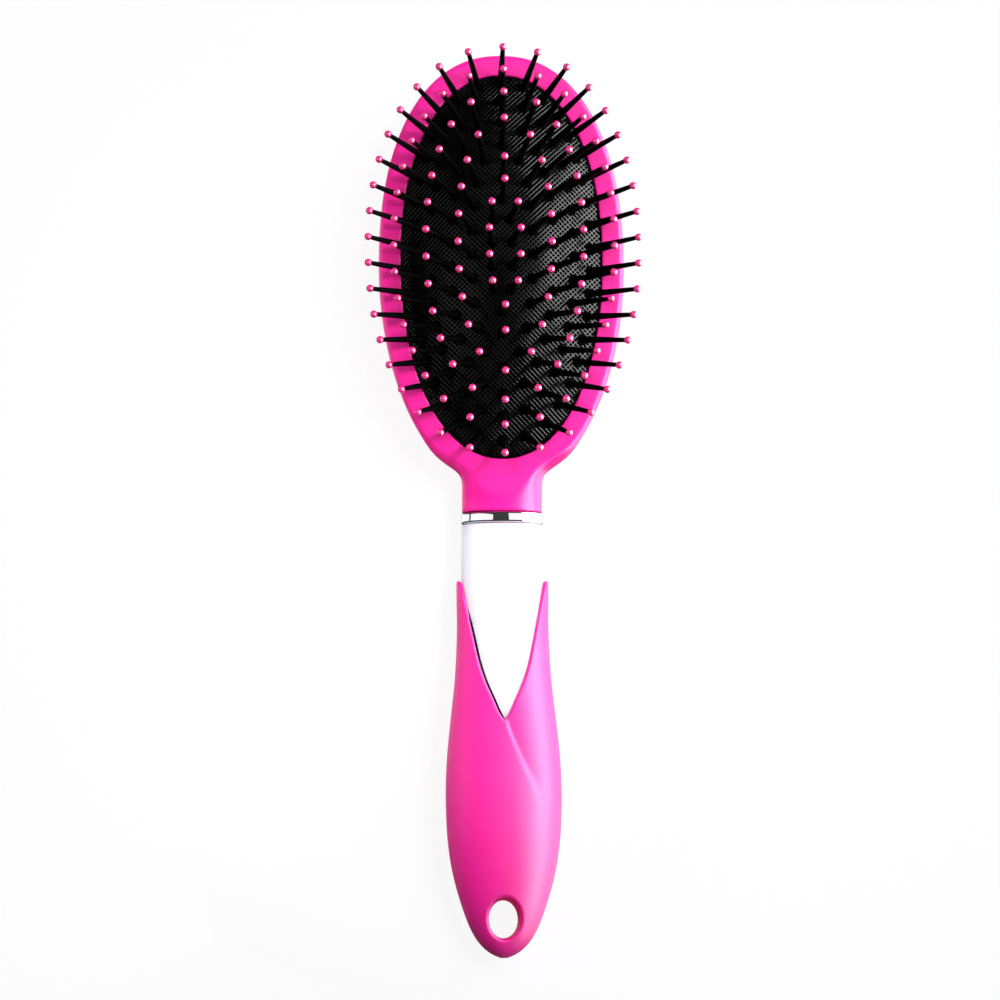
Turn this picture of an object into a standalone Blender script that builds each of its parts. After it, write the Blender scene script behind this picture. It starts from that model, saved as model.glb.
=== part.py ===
"""A cushion styling brush that lies on its back: head towards +Y, handle towards -Y, pins up.

Every length is in metres. The seam between the neck and the bright ring is the local y = 0,
and one empty carries the whole brush so that the middle of its length stands at the origin.
"""

import math

import bmesh
import bpy
from mathutils import Matrix, Vector

# Fits, cuts and welds
FIT_GAP = 0.0003
CUT_OVERRUN = 0.004
WELD_DISTANCE = 0.00001

# Head seen from the front: an egg-shaped oval, widest at its own centre and rounder at its foot
HEAD_HALF_WIDTH = 0.0327
HEAD_REACH_TOP = 0.0575
HEAD_REACH_FOOT = 0.0603
HEAD_CENTRE_FROM_SEAM = 0.0656
HEAD_ROUNDNESS_TOP = 2.25
HEAD_ROUNDNESS_FOOT = 2.0

# Head seen from the side: the rim's flat face is this far above the back
HEAD_DEPTH = 0.015
HEAD_BACK_ROLL = 0.0136
HEAD_BACK_WALL = 0.003

# Pad opening in the head, and the groove behind its lip that holds the pad's edge
OPENING_HALF_WIDTH = 0.0268
OPENING_REACH_TOP = 0.0497
OPENING_REACH_FOOT = 0.0539
OPENING_CENTRE_FROM_SEAM = 0.0675
OPENING_ROUNDNESS = 2.15
OPENING_CHAMFER = 0.0005
LIP_THICKNESS = 0.0018
GROOVE_HEIGHT = 0.0019
GROOVE_DEPTH = 0.0016
WELL_STEP = 0.0008
WELL_ROLL = 0.0058

# Rubber pad: a domed sheet with a flange round its edge
PAD_SKIN = 0.0013
PAD_EDGE_SINK = 0.0014
PAD_DOME_RISE = 0.011
PAD_FLANGE_ROOT = 0.0011

# Pins: a ball tip on a tapered shaft that stands on a foot behind the pad
PIN_REACH = 0.018
PIN_BALL_RADIUS = 0.0011
PIN_TIP_RADIUS = 0.00055
PIN_BASE_RADIUS = 0.00095
PIN_FOOT_SINK = 0.0010
PIN_FAN_RADIUS_ACROSS = 0.035
PIN_FAN_RADIUS_ALONG = 0.155
RUNNER_HALF_WIDTH = 0.0013
RUNNER_THICKNESS = 0.0014

# Each ring of pins: its count, and its half width and two reaches as shares of the opening's
PIN_RING_SHARES = (
    (38, 0.875, 0.958, 0.912),
    (32, 0.710, 0.840, 0.795),
    (26, 0.505, 0.721, 0.692),
    (20, 0.300, 0.586, 0.570),
    (10, 0.102, 0.282, 0.291),
)
# The innermost ring also has a pin past each of its ends, at these shares of the two reaches
END_PIN_SHARES = (0.392, -0.400)

# Bright ring between the neck and the white collar
RING_LENGTH = 0.0028
RING_PROUD = 0.00015
RING_EDGE = 0.00035

# Tang of the head, which plugs through the ring into the handle's core
TANG_HALF_WIDTH = 0.0056
TANG_HALF_DEPTH = 0.0036
TANG_ROOT = 0.008
TANG_ROUNDNESS = 4.0

# Handle
HANDLE_LENGTH = 0.1172
HANDLE_HALF_WIDTH = 0.0152
HANDLE_DEPTH = 0.0216
HANDLE_ROUNDNESS = 2.2
NECKLINE_HALF_WIDTH = 0.0112
GRIP_WALL_AT_TIPS = 0.0005
GRIP_WALL = 0.0011

# Ends of the tang, the grip's two tips, the neckline and the core: shares of the handle's length
TANG_END_SHARE = 0.273
GRIP_TIP_SHARE = 0.156
NECKLINE_POINT_SHARE = 0.476
CORE_END_SHARE = 0.785

# Hole that the brush hangs by
HANG_HOLE_HALF_WIDTH = 0.0038
HANG_HOLE_HALF_LENGTH = 0.00495
HANG_HOLE_FROM_END = 0.0101

# Facets
HEAD_FACETS = 48
PAD_FACETS = 36
RUNNER_FACETS = 32
PIN_FACETS = 5
NECK_FACETS = 24
GRIP_FACETS = 32
HOLE_FACETS = 16
OUTLINE_SAMPLES = 720

# Side profile of the head: share of its depth, and share of the roll-in of its back
HEAD_PROFILE_SHARES = (
    (0.0, 1.0),
    (0.017, 0.82),
    (0.08, 0.55),
    (0.195, 0.295),
    (0.35, 0.125),
    (0.565, 0.027),
    (0.825, 0.0),
    (0.935, 0.04),
    (1.0, 0.132),
    (1.02, 0.18),
)
# Side profile of the well under the pad: share of its height, and share of its roll-in
WELL_PROFILE_SHARES = ((0.0, 1.0), (0.16, 0.50), (0.42, 0.14), (1.0, 0.0))
# Dome of the pad: shares of its half width where the sheet has a ring of points
DOME_SHARES = (1.0, 0.88, 0.68, 0.44, 0.16)
# Rings of points of the plate behind the pad's middle, as shares of its own outline
PLATE_SHARES = (1.0, 0.66, 0.30)

# Neck: share of the head's centre distance, and half width, lowest and highest point as shares
# of the handle's half width and of the head's depth. Above the rim's face it is cut off flat.
NECK_SHARES = (
    (0.000, 0.698, 0.094, 0.958),
    (0.027, 0.695, 0.092, 0.972),
    (0.053, 0.697, 0.090, 1.000),
    (0.086, 0.700, 0.087, 1.064),
    (0.120, 0.704, 0.080, 1.130),
    (0.147, 0.735, 0.074, 1.180),
    (0.167, 0.800, 0.070, 1.200),
    (0.189, 0.910, 0.068, 1.200),
    (0.212, 1.060, 0.066, 1.200),
    (0.250, 1.150, 0.066, 1.200),
)

# Handle: share of its length, half width, and lowest and highest point as shares of its depth
HANDLE_SHARES = (
    (0.000, 0.750, 0.028, 0.703),
    (0.085, 0.763, 0.028, 0.731),
    (0.156, 0.775, 0.028, 0.759),
    (0.222, 0.793, 0.023, 0.792),
    (0.290, 0.800, 0.018, 0.826),
    (0.381, 0.838, 0.012, 0.880),
    (0.471, 0.914, 0.005, 0.940),
    (0.561, 0.980, 0.000, 0.984),
    (0.639, 1.000, 0.000, 1.000),
    (0.717, 0.982, 0.002, 0.984),
    (0.765, 0.945, 0.010, 0.950),
    (0.805, 0.895, 0.022, 0.910),
    (0.850, 0.810, 0.042, 0.852),
    (0.894, 0.704, 0.070, 0.785),
    (0.932, 0.590, 0.104, 0.712),
    (0.960, 0.470, 0.140, 0.650),
    (0.981, 0.325, 0.190, 0.580),
    (0.993, 0.190, 0.250, 0.510),
    (1.000, 0.060, 0.330, 0.430),
)
# Stations of the handle's outer form and of its core, as shares of their lengths
GRIP_STATION_SHARES = (
    0.128, 0.200, 0.290, 0.370, 0.450, 0.520, 0.590, 0.660, 0.730, 0.790, 0.845, 0.895, 0.935,
    0.965, 0.985, 0.995, 1.000,
)
CORE_STATION_SHARES = (0.0, 0.17, 0.32, 0.45, 0.58, 0.71, 0.85, 1.0)
NECKLINE_STEPS = 10
NECKLINE_BULGE_SHARE = 0.87

# Where the handle's features lie, from the seam
TANG_LENGTH = HANDLE_LENGTH * TANG_END_SHARE
GRIP_TIP_FROM_SEAM = HANDLE_LENGTH * GRIP_TIP_SHARE
NECKLINE_POINT_FROM_SEAM = HANDLE_LENGTH * NECKLINE_POINT_SHARE
CORE_END_FROM_SEAM = HANDLE_LENGTH * CORE_END_SHARE
HANG_HOLE_FROM_SEAM = HANDLE_LENGTH - HANG_HOLE_FROM_END

# Where things stand above the floor, which is the head's back
RIM_LEVEL = HEAD_DEPTH
GROOVE_TOP = RIM_LEVEL - LIP_THICKNESS
GROOVE_BOTTOM = GROOVE_TOP - GROOVE_HEIGHT
PAD_SEAT = RIM_LEVEL - PAD_EDGE_SINK
PAD_HALF_WIDTH = OPENING_HALF_WIDTH - FIT_GAP
PAD_REACH_TOP = OPENING_REACH_TOP - FIT_GAP
PAD_REACH_FOOT = OPENING_REACH_FOOT - FIT_GAP
DOME_RADIUS = (PAD_HALF_WIDTH**2 + PAD_DOME_RISE**2) / (2 * PAD_DOME_RISE)

# Colours, roughness and metallic value of each finish
FINISHES = {
    "head_pink": ((0.86, 0.06, 0.45), 0.28, 0.0),
    "grip_pink": ((0.90, 0.07, 0.48), 0.46, 0.0),
    "pad_black": ((0.012, 0.012, 0.014), 0.55, 0.0),
    "pin_black": ((0.015, 0.015, 0.017), 0.35, 0.0),
    "ring_chrome": ((0.85, 0.86, 0.88), 0.08, 1.0),
    "core_white": ((0.93, 0.93, 0.95), 0.22, 0.0),
}


def clear_scene():
    """Takes away what the scene holds."""
    for thing in list(bpy.data.objects):
        bpy.data.objects.remove(thing, do_unlink=True)
    for group in list(bpy.data.collections):
        bpy.data.collections.remove(group)


def new_collection(name):
    """A collection linked to the scene."""
    group = bpy.data.collections.new(name)
    bpy.context.scene.collection.children.link(group)
    return group


def finish(name):
    """The material of that finish, made the first time that it is asked for."""
    if name in bpy.data.materials:
        return bpy.data.materials[name]
    colour, roughness, metallic = FINISHES[name]
    material = bpy.data.materials.new(name)
    material.use_nodes = True
    shader = material.node_tree.nodes["Principled BSDF"]
    shader.inputs["Base Color"].default_value = (*colour, 1.0)
    shader.inputs["Roughness"].default_value = roughness
    shader.inputs["Metallic"].default_value = metallic
    return material


def place(name, mesh, group, carrier, finish_name=None):
    """An object for a mesh, in a collection and carried by the brush's empty."""
    thing = bpy.data.objects.new(name, mesh)
    group.objects.link(thing)
    thing.parent = carrier
    if finish_name is None:
        thing.hide_render = True
        thing.display_type = "WIRE"
    else:
        mesh.materials.append(finish(finish_name))
    return thing


def skin(name, rings, closed=False):
    """One closed mesh through rings of points: a loft with capped ends, or a loop."""
    shape = bmesh.new()
    rows = [[shape.verts.new(point) for point in ring] for ring in rings]
    pairs = list(zip(rows, rows[1:]))
    if closed:
        pairs.append((rows[-1], rows[0]))
    for lower, upper in pairs:
        for i in range(len(lower)):
            j = (i + 1) % len(lower)
            shape.faces.new((lower[i], lower[j], upper[j], upper[i]))
    if not closed:
        shape.faces.new(rows[0])
        shape.faces.new(rows[-1])
    bmesh.ops.recalc_face_normals(shape, faces=shape.faces)
    mesh = bpy.data.meshes.new(name)
    shape.to_mesh(mesh)
    shape.free()
    return mesh


def shade_round(thing, angle):
    """Smooth shading with sharp edges past an angle."""
    thing.data.shade_smooth()
    thing.data.set_sharp_from_angle(angle=angle)


def boolean(thing, tool, operation):
    """An exact Boolean with a tool that stays in the scene as a guide."""
    modifier = thing.modifiers.new(operation.lower(), "BOOLEAN")
    modifier.operation = operation
    modifier.solver = "EXACT"
    modifier.object = tool


def egg(half_width, reach_top, reach_foot, roundness, count, roundness_foot=None):
    """Points of an egg-shaped oval about its centre, clockwise from its top."""
    points = []
    for step in range(count):
        angle = math.tau * step / count
        across = math.sin(angle)
        along = math.cos(angle)
        reach = reach_top if along > 0 else reach_foot
        power = roundness if along > 0 or roundness_foot is None else roundness_foot
        x = half_width * math.copysign(abs(across) ** (2 / power), across)
        y = reach * math.copysign(abs(along) ** (2 / power), along)
        points.append((x, y))
    return points


def head_ring(inset, level):
    """The head's outline drawn in by an inset, at a level above the floor."""
    outline = egg(
        HEAD_HALF_WIDTH - inset,
        HEAD_REACH_TOP - inset,
        HEAD_REACH_FOOT - inset,
        HEAD_ROUNDNESS_TOP,
        HEAD_FACETS,
        HEAD_ROUNDNESS_FOOT,
    )
    return [(x, y + HEAD_CENTRE_FROM_SEAM, level) for x, y in outline]


def opening_ring(inset, level, count=HEAD_FACETS):
    """The pad opening's outline drawn in by an inset, at a level above the floor."""
    outline = egg(
        OPENING_HALF_WIDTH - inset,
        OPENING_REACH_TOP - inset,
        OPENING_REACH_FOOT - inset,
        OPENING_ROUNDNESS,
        count,
    )
    return [(x, y + OPENING_CENTRE_FROM_SEAM, level) for x, y in outline]


def between(table, share, column):
    """A value of a table at a share, on a smooth curve through the table's rows."""
    last = len(table) - 2
    index = next((i for i in range(last) if share <= table[i + 1][0]), last)
    low = table[index]
    high = table[index + 1]
    before = table[max(index - 1, 0)]
    after = table[min(index + 2, len(table) - 1)]
    span = high[0] - low[0]
    t = (share - low[0]) / span
    slope_low = (high[column] - before[column]) / (high[0] - before[0]) * span
    slope_high = (after[column] - low[column]) / (after[0] - low[0]) * span
    return (
        (2 * t**3 - 3 * t**2 + 1) * low[column]
        + (t**3 - 2 * t**2 + t) * slope_low
        + (3 * t**2 - 2 * t**3) * high[column]
        + (t**3 - t**2) * slope_high
    )


def section(half_width, bottom, top, y, roundness, count):
    """A rounded section square to the brush's length, between two levels."""
    middle = (bottom + top) / 2
    half_depth = (top - bottom) / 2
    outline = egg(half_width, half_depth, half_depth, roundness, count)
    return [(x, y, middle + z) for x, z in outline]


def handle_section(distance, inset, count=GRIP_FACETS):
    """The handle's section at a distance from the seam, drawn in by an inset."""
    share = distance / HANDLE_LENGTH
    return section(
        HANDLE_HALF_WIDTH * between(HANDLE_SHARES, share, 1) - inset,
        HANDLE_DEPTH * between(HANDLE_SHARES, share, 2) + inset,
        HANDLE_DEPTH * between(HANDLE_SHARES, share, 3) - inset,
        -distance,
        HANDLE_ROUNDNESS,
        count,
    )


def grip_wall_at(distance):
    """The grip's wall: thin at its two tips, full from the point of the neckline on."""
    run = NECKLINE_POINT_FROM_SEAM - GRIP_TIP_FROM_SEAM
    share = min(max((distance - GRIP_TIP_FROM_SEAM) / run, 0.0), 1.0)
    return GRIP_WALL_AT_TIPS + (GRIP_WALL - GRIP_WALL_AT_TIPS) * share


def core_section(distance, gap=0.0):
    """The core's section: the handle's, less the grip's wall and the fit between them."""
    return handle_section(distance, grip_wall_at(distance) + FIT_GAP - gap, NECK_FACETS)


def dome_point(x, y):
    """A point of the pad's outer face, from a place measured from the opening's centre."""
    reach = PAD_REACH_TOP if y > 0 else PAD_REACH_FOOT
    power = OPENING_ROUNDNESS
    share = (abs(x / PAD_HALF_WIDTH) ** power + abs(y / reach) ** power) ** (1 / power)
    across = min(share, 1.0) * PAD_HALF_WIDTH
    rise = math.sqrt(DOME_RADIUS**2 - across**2) - (DOME_RADIUS - PAD_DOME_RISE)
    return Vector((x, y + OPENING_CENTRE_FROM_SEAM, PAD_SEAT + rise))


def dome_normal(x, y):
    """The direction square to the pad's outer face there."""
    step = PAD_SKIN / 2
    along_x = dome_point(x + step, y) - dome_point(x - step, y)
    along_y = dome_point(x, y + step) - dome_point(x, y - step)
    return along_x.cross(along_y).normalized()


def pin_direction(x, y):
    """The way a pin points: the pins fan out from the middle of the pad."""
    lean_x = x / PIN_FAN_RADIUS_ACROSS
    lean_y = y / PIN_FAN_RADIUS_ALONG
    return Vector((lean_x, lean_y, math.sqrt(1 - lean_x**2 - lean_y**2)))


def ring_outline(shares, count, margin=0.0):
    """The egg that a ring of pins stands on, from its shares of the opening."""
    across, top, foot = shares
    return egg(
        OPENING_HALF_WIDTH * across + margin,
        OPENING_REACH_TOP * top + margin,
        OPENING_REACH_FOOT * foot + margin,
        OPENING_ROUNDNESS,
        count,
    )


def spread(outline, count):
    """Places at even steps along a closed outline, the first one at its start."""
    loop = outline + outline[:1]
    steps = [math.dist(a, b) for a, b in zip(loop, loop[1:])]
    whole = sum(steps)
    places = []
    index = 0
    walked = 0.0
    for copy in range(count):
        goal = whole * copy / count
        while walked + steps[index] < goal:
            walked += steps[index]
            index += 1
        share = (goal - walked) / steps[index]
        a = loop[index]
        b = loop[index + 1]
        places.append((a[0] + (b[0] - a[0]) * share, a[1] + (b[1] - a[1]) * share))
    return places


def pin_places(number):
    """Where the pins of one ring stand, measured from the opening's centre."""
    count, *shares = PIN_RING_SHARES[number]
    places = spread(ring_outline(shares, OUTLINE_SAMPLES), count)
    if number == len(PIN_RING_SHARES) - 1:
        top, foot = END_PIN_SHARES
        places.append((0.0, OPENING_REACH_TOP * top))
        places.append((0.0, OPENING_REACH_FOOT * foot))
    return places


def pin_frame(x, y):
    """The place and lean of a pin, with its local origin in the pad's outer face."""
    turn = pin_direction(x, y).to_track_quat("Z", "Y")
    return Matrix.Translation(dome_point(x, y)) @ turn.to_matrix().to_4x4()


def turned(name, profile, sides):
    """A solid turned about Z from a profile that runs from its top down its outer side."""
    mesh = bpy.data.meshes.new(name)
    points = [(radius, 0.0, height) for radius, height in profile]
    mesh.from_pydata(points, [(i, i + 1) for i in range(len(points) - 1)], [])
    thing = bpy.data.objects.new(name, mesh)
    bpy.context.scene.collection.objects.link(thing)
    screw = thing.modifiers.new("turn", "SCREW")
    screw.steps = sides
    screw.render_steps = sides
    screw.use_merge_vertices = True
    screw.merge_threshold = WELD_DISTANCE
    bpy.context.view_layer.update()
    whole = bpy.data.meshes.new_from_object(thing.evaluated_get(bpy.context.evaluated_depsgraph_get()))
    bpy.data.objects.remove(thing)
    shape = bmesh.new()
    shape.from_mesh(whole)
    bmesh.ops.recalc_face_normals(shape, faces=shape.faces)
    shape.to_mesh(whole)
    shape.free()
    return whole


def copies(name, pattern, frames):
    """One mesh that holds a copy of a pattern at each frame."""
    shape = bmesh.new()
    for frame in frames:
        start = len(shape.verts)
        shape.from_mesh(pattern)
        shape.verts.ensure_lookup_table()
        bmesh.ops.transform(shape, matrix=frame, verts=shape.verts[start:])
    mesh = bpy.data.meshes.new(name)
    shape.to_mesh(mesh)
    shape.free()
    return mesh


def tang_mesh(name, gap):
    """The head's tang, grown by a gap: the tang itself, or the pocket that takes it."""
    middle = (RIM_LEVEL * (NECK_SHARES[0][2] + NECK_SHARES[0][3])) / 2
    rings = [
        section(
            TANG_HALF_WIDTH + gap,
            middle - TANG_HALF_DEPTH - gap,
            middle + TANG_HALF_DEPTH + gap,
            y,
            TANG_ROUNDNESS,
            NECK_FACETS,
        )
        for y in (TANG_ROOT, -TANG_LENGTH - gap)
    ]
    return skin(name, rings)


def build_head(parts, cutters, carrier):
    """The pink head: a bowl with a rim, its neck and its tang in one moulding."""
    rings = [
        head_ring(HEAD_BACK_ROLL * inset, HEAD_DEPTH * height)
        for height, inset in HEAD_PROFILE_SHARES
    ]
    head = place("head_body", skin("head_body", rings), parts, carrier, "head_pink")

    neck_rings = [
        section(
            HANDLE_HALF_WIDTH * half_width,
            HEAD_DEPTH * bottom,
            HEAD_DEPTH * top,
            HEAD_CENTRE_FROM_SEAM * y,
            HANDLE_ROUNDNESS,
            NECK_FACETS,
        )
        for y, half_width, bottom, top in NECK_SHARES
    ]
    neck = place("neck_form", skin("neck_form", neck_rings), cutters, carrier)
    boolean(head, neck, "UNION")

    reach = HEAD_CENTRE_FROM_SEAM + HEAD_REACH_TOP + CUT_OVERRUN
    trim = bmesh.new()
    bmesh.ops.create_cube(trim, size=1.0)
    size = Vector((2 * (HEAD_HALF_WIDTH + CUT_OVERRUN), reach + CUT_OVERRUN, HEAD_DEPTH))
    centre = Vector((0.0, (reach - CUT_OVERRUN) / 2, RIM_LEVEL + HEAD_DEPTH / 2))
    bmesh.ops.transform(
        trim, matrix=Matrix.Translation(centre) @ Matrix.Diagonal((*size, 1.0)), verts=trim.verts
    )
    trim_mesh = bpy.data.meshes.new("rim_plane")
    trim.to_mesh(trim_mesh)
    trim.free()
    boolean(head, place("rim_plane", trim_mesh, cutters, carrier), "DIFFERENCE")

    tang = place("tang_form", tang_mesh("tang_form", 0.0), cutters, carrier)
    boolean(head, tang, "UNION")

    well_height = GROOVE_BOTTOM - HEAD_BACK_WALL
    rings = [
        opening_ring(WELL_STEP + WELL_ROLL * inset, HEAD_BACK_WALL + well_height * height)
        for height, inset in WELL_PROFILE_SHARES
    ]
    rings.append(opening_ring(-GROOVE_DEPTH, GROOVE_BOTTOM))
    rings.append(opening_ring(-GROOVE_DEPTH, GROOVE_TOP))
    rings.append(opening_ring(0.0, GROOVE_TOP))
    rings.append(opening_ring(0.0, RIM_LEVEL - OPENING_CHAMFER))
    rings.append(opening_ring(-2 * OPENING_CHAMFER, RIM_LEVEL + OPENING_CHAMFER))
    well = place("pad_well", skin("pad_well", rings), cutters, carrier)
    boolean(head, well, "DIFFERENCE")
    shade_round(head, math.radians(40))
    return head


def build_pad(parts, cutters, carrier):
    """The rubber pad: a domed sheet, pierced for the pins, with a flange in the head's groove."""
    flange_top = GROOVE_TOP - FIT_GAP
    flange_bottom = GROOVE_BOTTOM + FIT_GAP
    flange_out = FIT_GAP - GROOVE_DEPTH
    rings = [dome_ring(share, 0.0) for share in reversed(DOME_SHARES)]
    rings.append(opening_ring(FIT_GAP, flange_top, PAD_FACETS))
    rings.append(opening_ring(flange_out, flange_top, PAD_FACETS))
    rings.append(opening_ring(flange_out, flange_bottom, PAD_FACETS))
    root = opening_ring(PAD_FLANGE_ROOT, flange_bottom, PAD_FACETS)
    centre = OPENING_CENTRE_FROM_SEAM
    rings.append(root)
    rings.append([(x, y, dome_point(x, y - centre).z - PAD_SKIN) for x, y, _ in root])
    rings += [dome_ring(share, PAD_SKIN) for share in DOME_SHARES[1:]]
    pad = place("cushion_pad", skin("cushion_pad", rings), parts, carrier, "pad_black")

    hole_radius = PIN_BASE_RADIUS + FIT_GAP
    profile = (
        (0.0, PAD_SKIN),
        (hole_radius, PAD_SKIN),
        (hole_radius, -2 * PAD_SKIN),
        (0.0, -2 * PAD_SKIN),
    )
    punch = turned("pin_hole", profile, PIN_FACETS)
    frames = [
        pin_frame(x, y) for number in range(len(PIN_RING_SHARES)) for x, y in pin_places(number)
    ]
    holes = place("pin_holes", copies("pin_holes", punch, frames), cutters, carrier)
    boolean(pad, holes, "DIFFERENCE")
    shade_round(pad, math.radians(50))
    return pad


def dome_ring(share, drop):
    """A ring of points of the pad's dome, at a share of its outline, lowered by a drop."""
    outline = egg(
        PAD_HALF_WIDTH * share,
        PAD_REACH_TOP * share,
        PAD_REACH_FOOT * share,
        OPENING_ROUNDNESS,
        PAD_FACETS,
    )
    return [dome_point(x, y) - Vector((0.0, 0.0, drop)) for x, y in outline]


def runner_rings(shares):
    """The four edges of a thin oval runner that lies just behind the pad's sheet."""
    outline = ring_outline(shares, RUNNER_FACETS)
    rings = []
    for index, (x, y) in enumerate(outline):
        ahead = Vector(outline[(index + 1) % len(outline)])
        behind = Vector(outline[index - 1])
        along = ahead - behind
        up = dome_normal(x, y)
        side = Vector((along.x, along.y, 0.0)).cross(up).normalized() * RUNNER_HALF_WIDTH
        top = dome_point(x, y) - up * (PAD_SKIN + FIT_GAP)
        bottom = top - up * RUNNER_THICKNESS
        rings.append([top + side, top - side, bottom - side, bottom + side])
    return rings


def plate_rings(shares):
    """The faces of the solid plate that carries the pins of the middle."""
    across, _, _ = shares
    top_end, foot_end = END_PIN_SHARES
    outer = (across, top_end, -foot_end)
    rings = []
    for drop, steps in ((0.0, reversed(PLATE_SHARES)), (RUNNER_THICKNESS, PLATE_SHARES)):
        for step in steps:
            outline = ring_outline(outer, RUNNER_FACETS, RUNNER_HALF_WIDTH)
            lowered = Vector((0.0, 0.0, PAD_SKIN + FIT_GAP + drop))
            rings.append([dome_point(x * step, y * step) - lowered for x, y in outline])
    return rings


def build_pin_ring(number, pin, parts, cutters, carrier):
    """One ring of pins on the runner that ties their feet together behind the pad."""
    name = f"pin_ring_{number + 1}"
    _, *shares = PIN_RING_SHARES[number]
    if number == len(PIN_RING_SHARES) - 1:
        runner = skin(name, plate_rings(shares))
    else:
        runner = skin(name, runner_rings(shares), closed=True)
    ring = place(name, runner, parts, carrier, "pin_black")
    frames = [pin_frame(x, y) for x, y in pin_places(number)]
    pins = place(f"{name}_pins", copies(f"{name}_pins", pin, frames), cutters, carrier)
    boolean(ring, pins, "UNION")
    shade_round(ring, math.radians(50))
    return ring


def pin_profile():
    """Half of a pin's outline, from the top of its ball down to its foot."""
    ball = PIN_BALL_RADIUS
    neck = math.sqrt(ball**2 - PIN_TIP_RADIUS**2)
    slant = ball * math.sqrt(0.5)
    foot = -(PAD_SKIN + FIT_GAP + PIN_FOOT_SINK)
    return (
        (0.0, PIN_REACH + ball),
        (slant, PIN_REACH + slant),
        (ball, PIN_REACH),
        (PIN_TIP_RADIUS, PIN_REACH - neck),
        (PIN_BASE_RADIUS, foot),
        (0.0, foot),
    )


def build_collar_ring(parts, carrier, pocket):
    """The bright ring round the tang, a little proud of the neck, with eased edges."""
    first = FIT_GAP
    last = FIT_GAP + RING_LENGTH
    stations = (
        (first, RING_EDGE),
        (first + RING_EDGE, -RING_PROUD),
        (last - RING_EDGE, -RING_PROUD),
        (last, RING_EDGE),
    )
    rings = [core_section(distance, -inset) for distance, inset in stations]
    ring = place("chrome_ring", skin("chrome_ring", rings), parts, carrier, "ring_chrome")
    boolean(ring, pocket, "DIFFERENCE")
    shade_round(ring, math.radians(40))
    return ring


def build_core(parts, carrier, pocket):
    """The white core: its bare front end is the collar, the rest lies in the grip."""
    start = RING_LENGTH + 2 * FIT_GAP
    run = CORE_END_FROM_SEAM - start
    rings = [core_section(start + run * share) for share in CORE_STATION_SHARES]
    core = place("handle_core", skin("handle_core", rings), parts, carrier, "core_white")
    boolean(core, pocket, "DIFFERENCE")
    shade_round(core, math.radians(40))
    return core


def neckline_mesh():
    """The V that is cut out of the grip's front and back, as an upright prism."""
    run = NECKLINE_POINT_FROM_SEAM - GRIP_TIP_FROM_SEAM
    bulge = NECKLINE_HALF_WIDTH * NECKLINE_BULGE_SHARE
    right = []
    for step in range(1, NECKLINE_STEPS + 1):
        t = step / NECKLINE_STEPS
        x = 2 * t * (1 - t) * bulge + t**2 * NECKLINE_HALF_WIDTH
        right.append((x, run * t - NECKLINE_POINT_FROM_SEAM))
    wide = HANDLE_HALF_WIDTH + CUT_OVERRUN
    right.append((wide, -GRIP_TIP_FROM_SEAM))
    right.append((wide, CUT_OVERRUN))
    left = [(-x, y) for x, y in reversed(right)]
    outline = [(0.0, -NECKLINE_POINT_FROM_SEAM)] + right + left
    levels = (-CUT_OVERRUN, HANDLE_DEPTH + CUT_OVERRUN)
    return skin("neckline", [[(x, y, level) for x, y in outline] for level in levels])


def build_grip(parts, cutters, carrier):
    """The soft grip: a sleeve over the core with a V neckline and a hole to hang by."""
    rings = [handle_section(HANDLE_LENGTH * share, 0.0) for share in GRIP_STATION_SHARES]
    grip = place("grip_sleeve", skin("grip_sleeve", rings), parts, carrier, "grip_pink")

    start = RING_LENGTH + 2 * FIT_GAP
    run = CORE_END_FROM_SEAM + FIT_GAP - start
    rings = [core_section(start + run * share, FIT_GAP) for share in CORE_STATION_SHARES]
    bore = place("grip_bore", skin("grip_bore", rings), cutters, carrier)
    boolean(grip, bore, "DIFFERENCE")
    boolean(grip, place("neckline", neckline_mesh(), cutters, carrier), "DIFFERENCE")

    outline = egg(
        HANG_HOLE_HALF_WIDTH, HANG_HOLE_HALF_LENGTH, HANG_HOLE_HALF_LENGTH, 2.0, HOLE_FACETS
    )
    levels = (-CUT_OVERRUN, HANDLE_DEPTH + CUT_OVERRUN)
    rings = [[(x, y - HANG_HOLE_FROM_SEAM, level) for x, y in outline] for level in levels]
    hole = place("hang_hole", skin("hang_hole", rings), cutters, carrier)
    boolean(grip, hole, "DIFFERENCE")
    shade_round(grip, math.radians(40))
    return grip


def brush_middle():
    """The middle of the brush's length, from the seam, with the topmost pin's ball counted."""
    _, _, top, _ = PIN_RING_SHARES[0]
    root = OPENING_REACH_TOP * top
    ball = dome_point(0.0, root) + pin_direction(0.0, root) * PIN_REACH
    highest = max(ball.y + PIN_BALL_RADIUS, HEAD_CENTRE_FROM_SEAM + HEAD_REACH_TOP)
    return (highest - HANDLE_LENGTH) / 2


def main():
    """Builds the brush."""
    clear_scene()
    parts = new_collection("cushion_styling_brush")
    cutters = new_collection("cutters")
    carrier = bpy.data.objects.new("brush_frame", None)
    parts.objects.link(carrier)
    carrier.location = (0.0, -brush_middle(), 0.0)

    build_head(parts, cutters, carrier)
    build_pad(parts, cutters, carrier)
    pin = turned("pin", pin_profile(), PIN_FACETS)
    for number in range(len(PIN_RING_SHARES)):
        build_pin_ring(number, pin, parts, cutters, carrier)
    pocket = place("tang_pocket", tang_mesh("tang_pocket", FIT_GAP), cutters, carrier)
    build_collar_ring(parts, carrier, pocket)
    build_core(parts, carrier, pocket)
    build_grip(parts, cutters, carrier)


main()
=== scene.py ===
# %% [markdown]
# # A cushion brush, dressed for its picture
# The brush lies on its back with its pins up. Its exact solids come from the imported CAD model,
# and this lesson builds a finer skin over each of them: head, cushion, pins, ring, collar and
# grip. Everything is in metres in the model's own frame: +Y runs from the handle to the top of
# the head, +Z from the back to the pins. Each piece rides on a CAD body, so it moves as the
# solids do.

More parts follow.
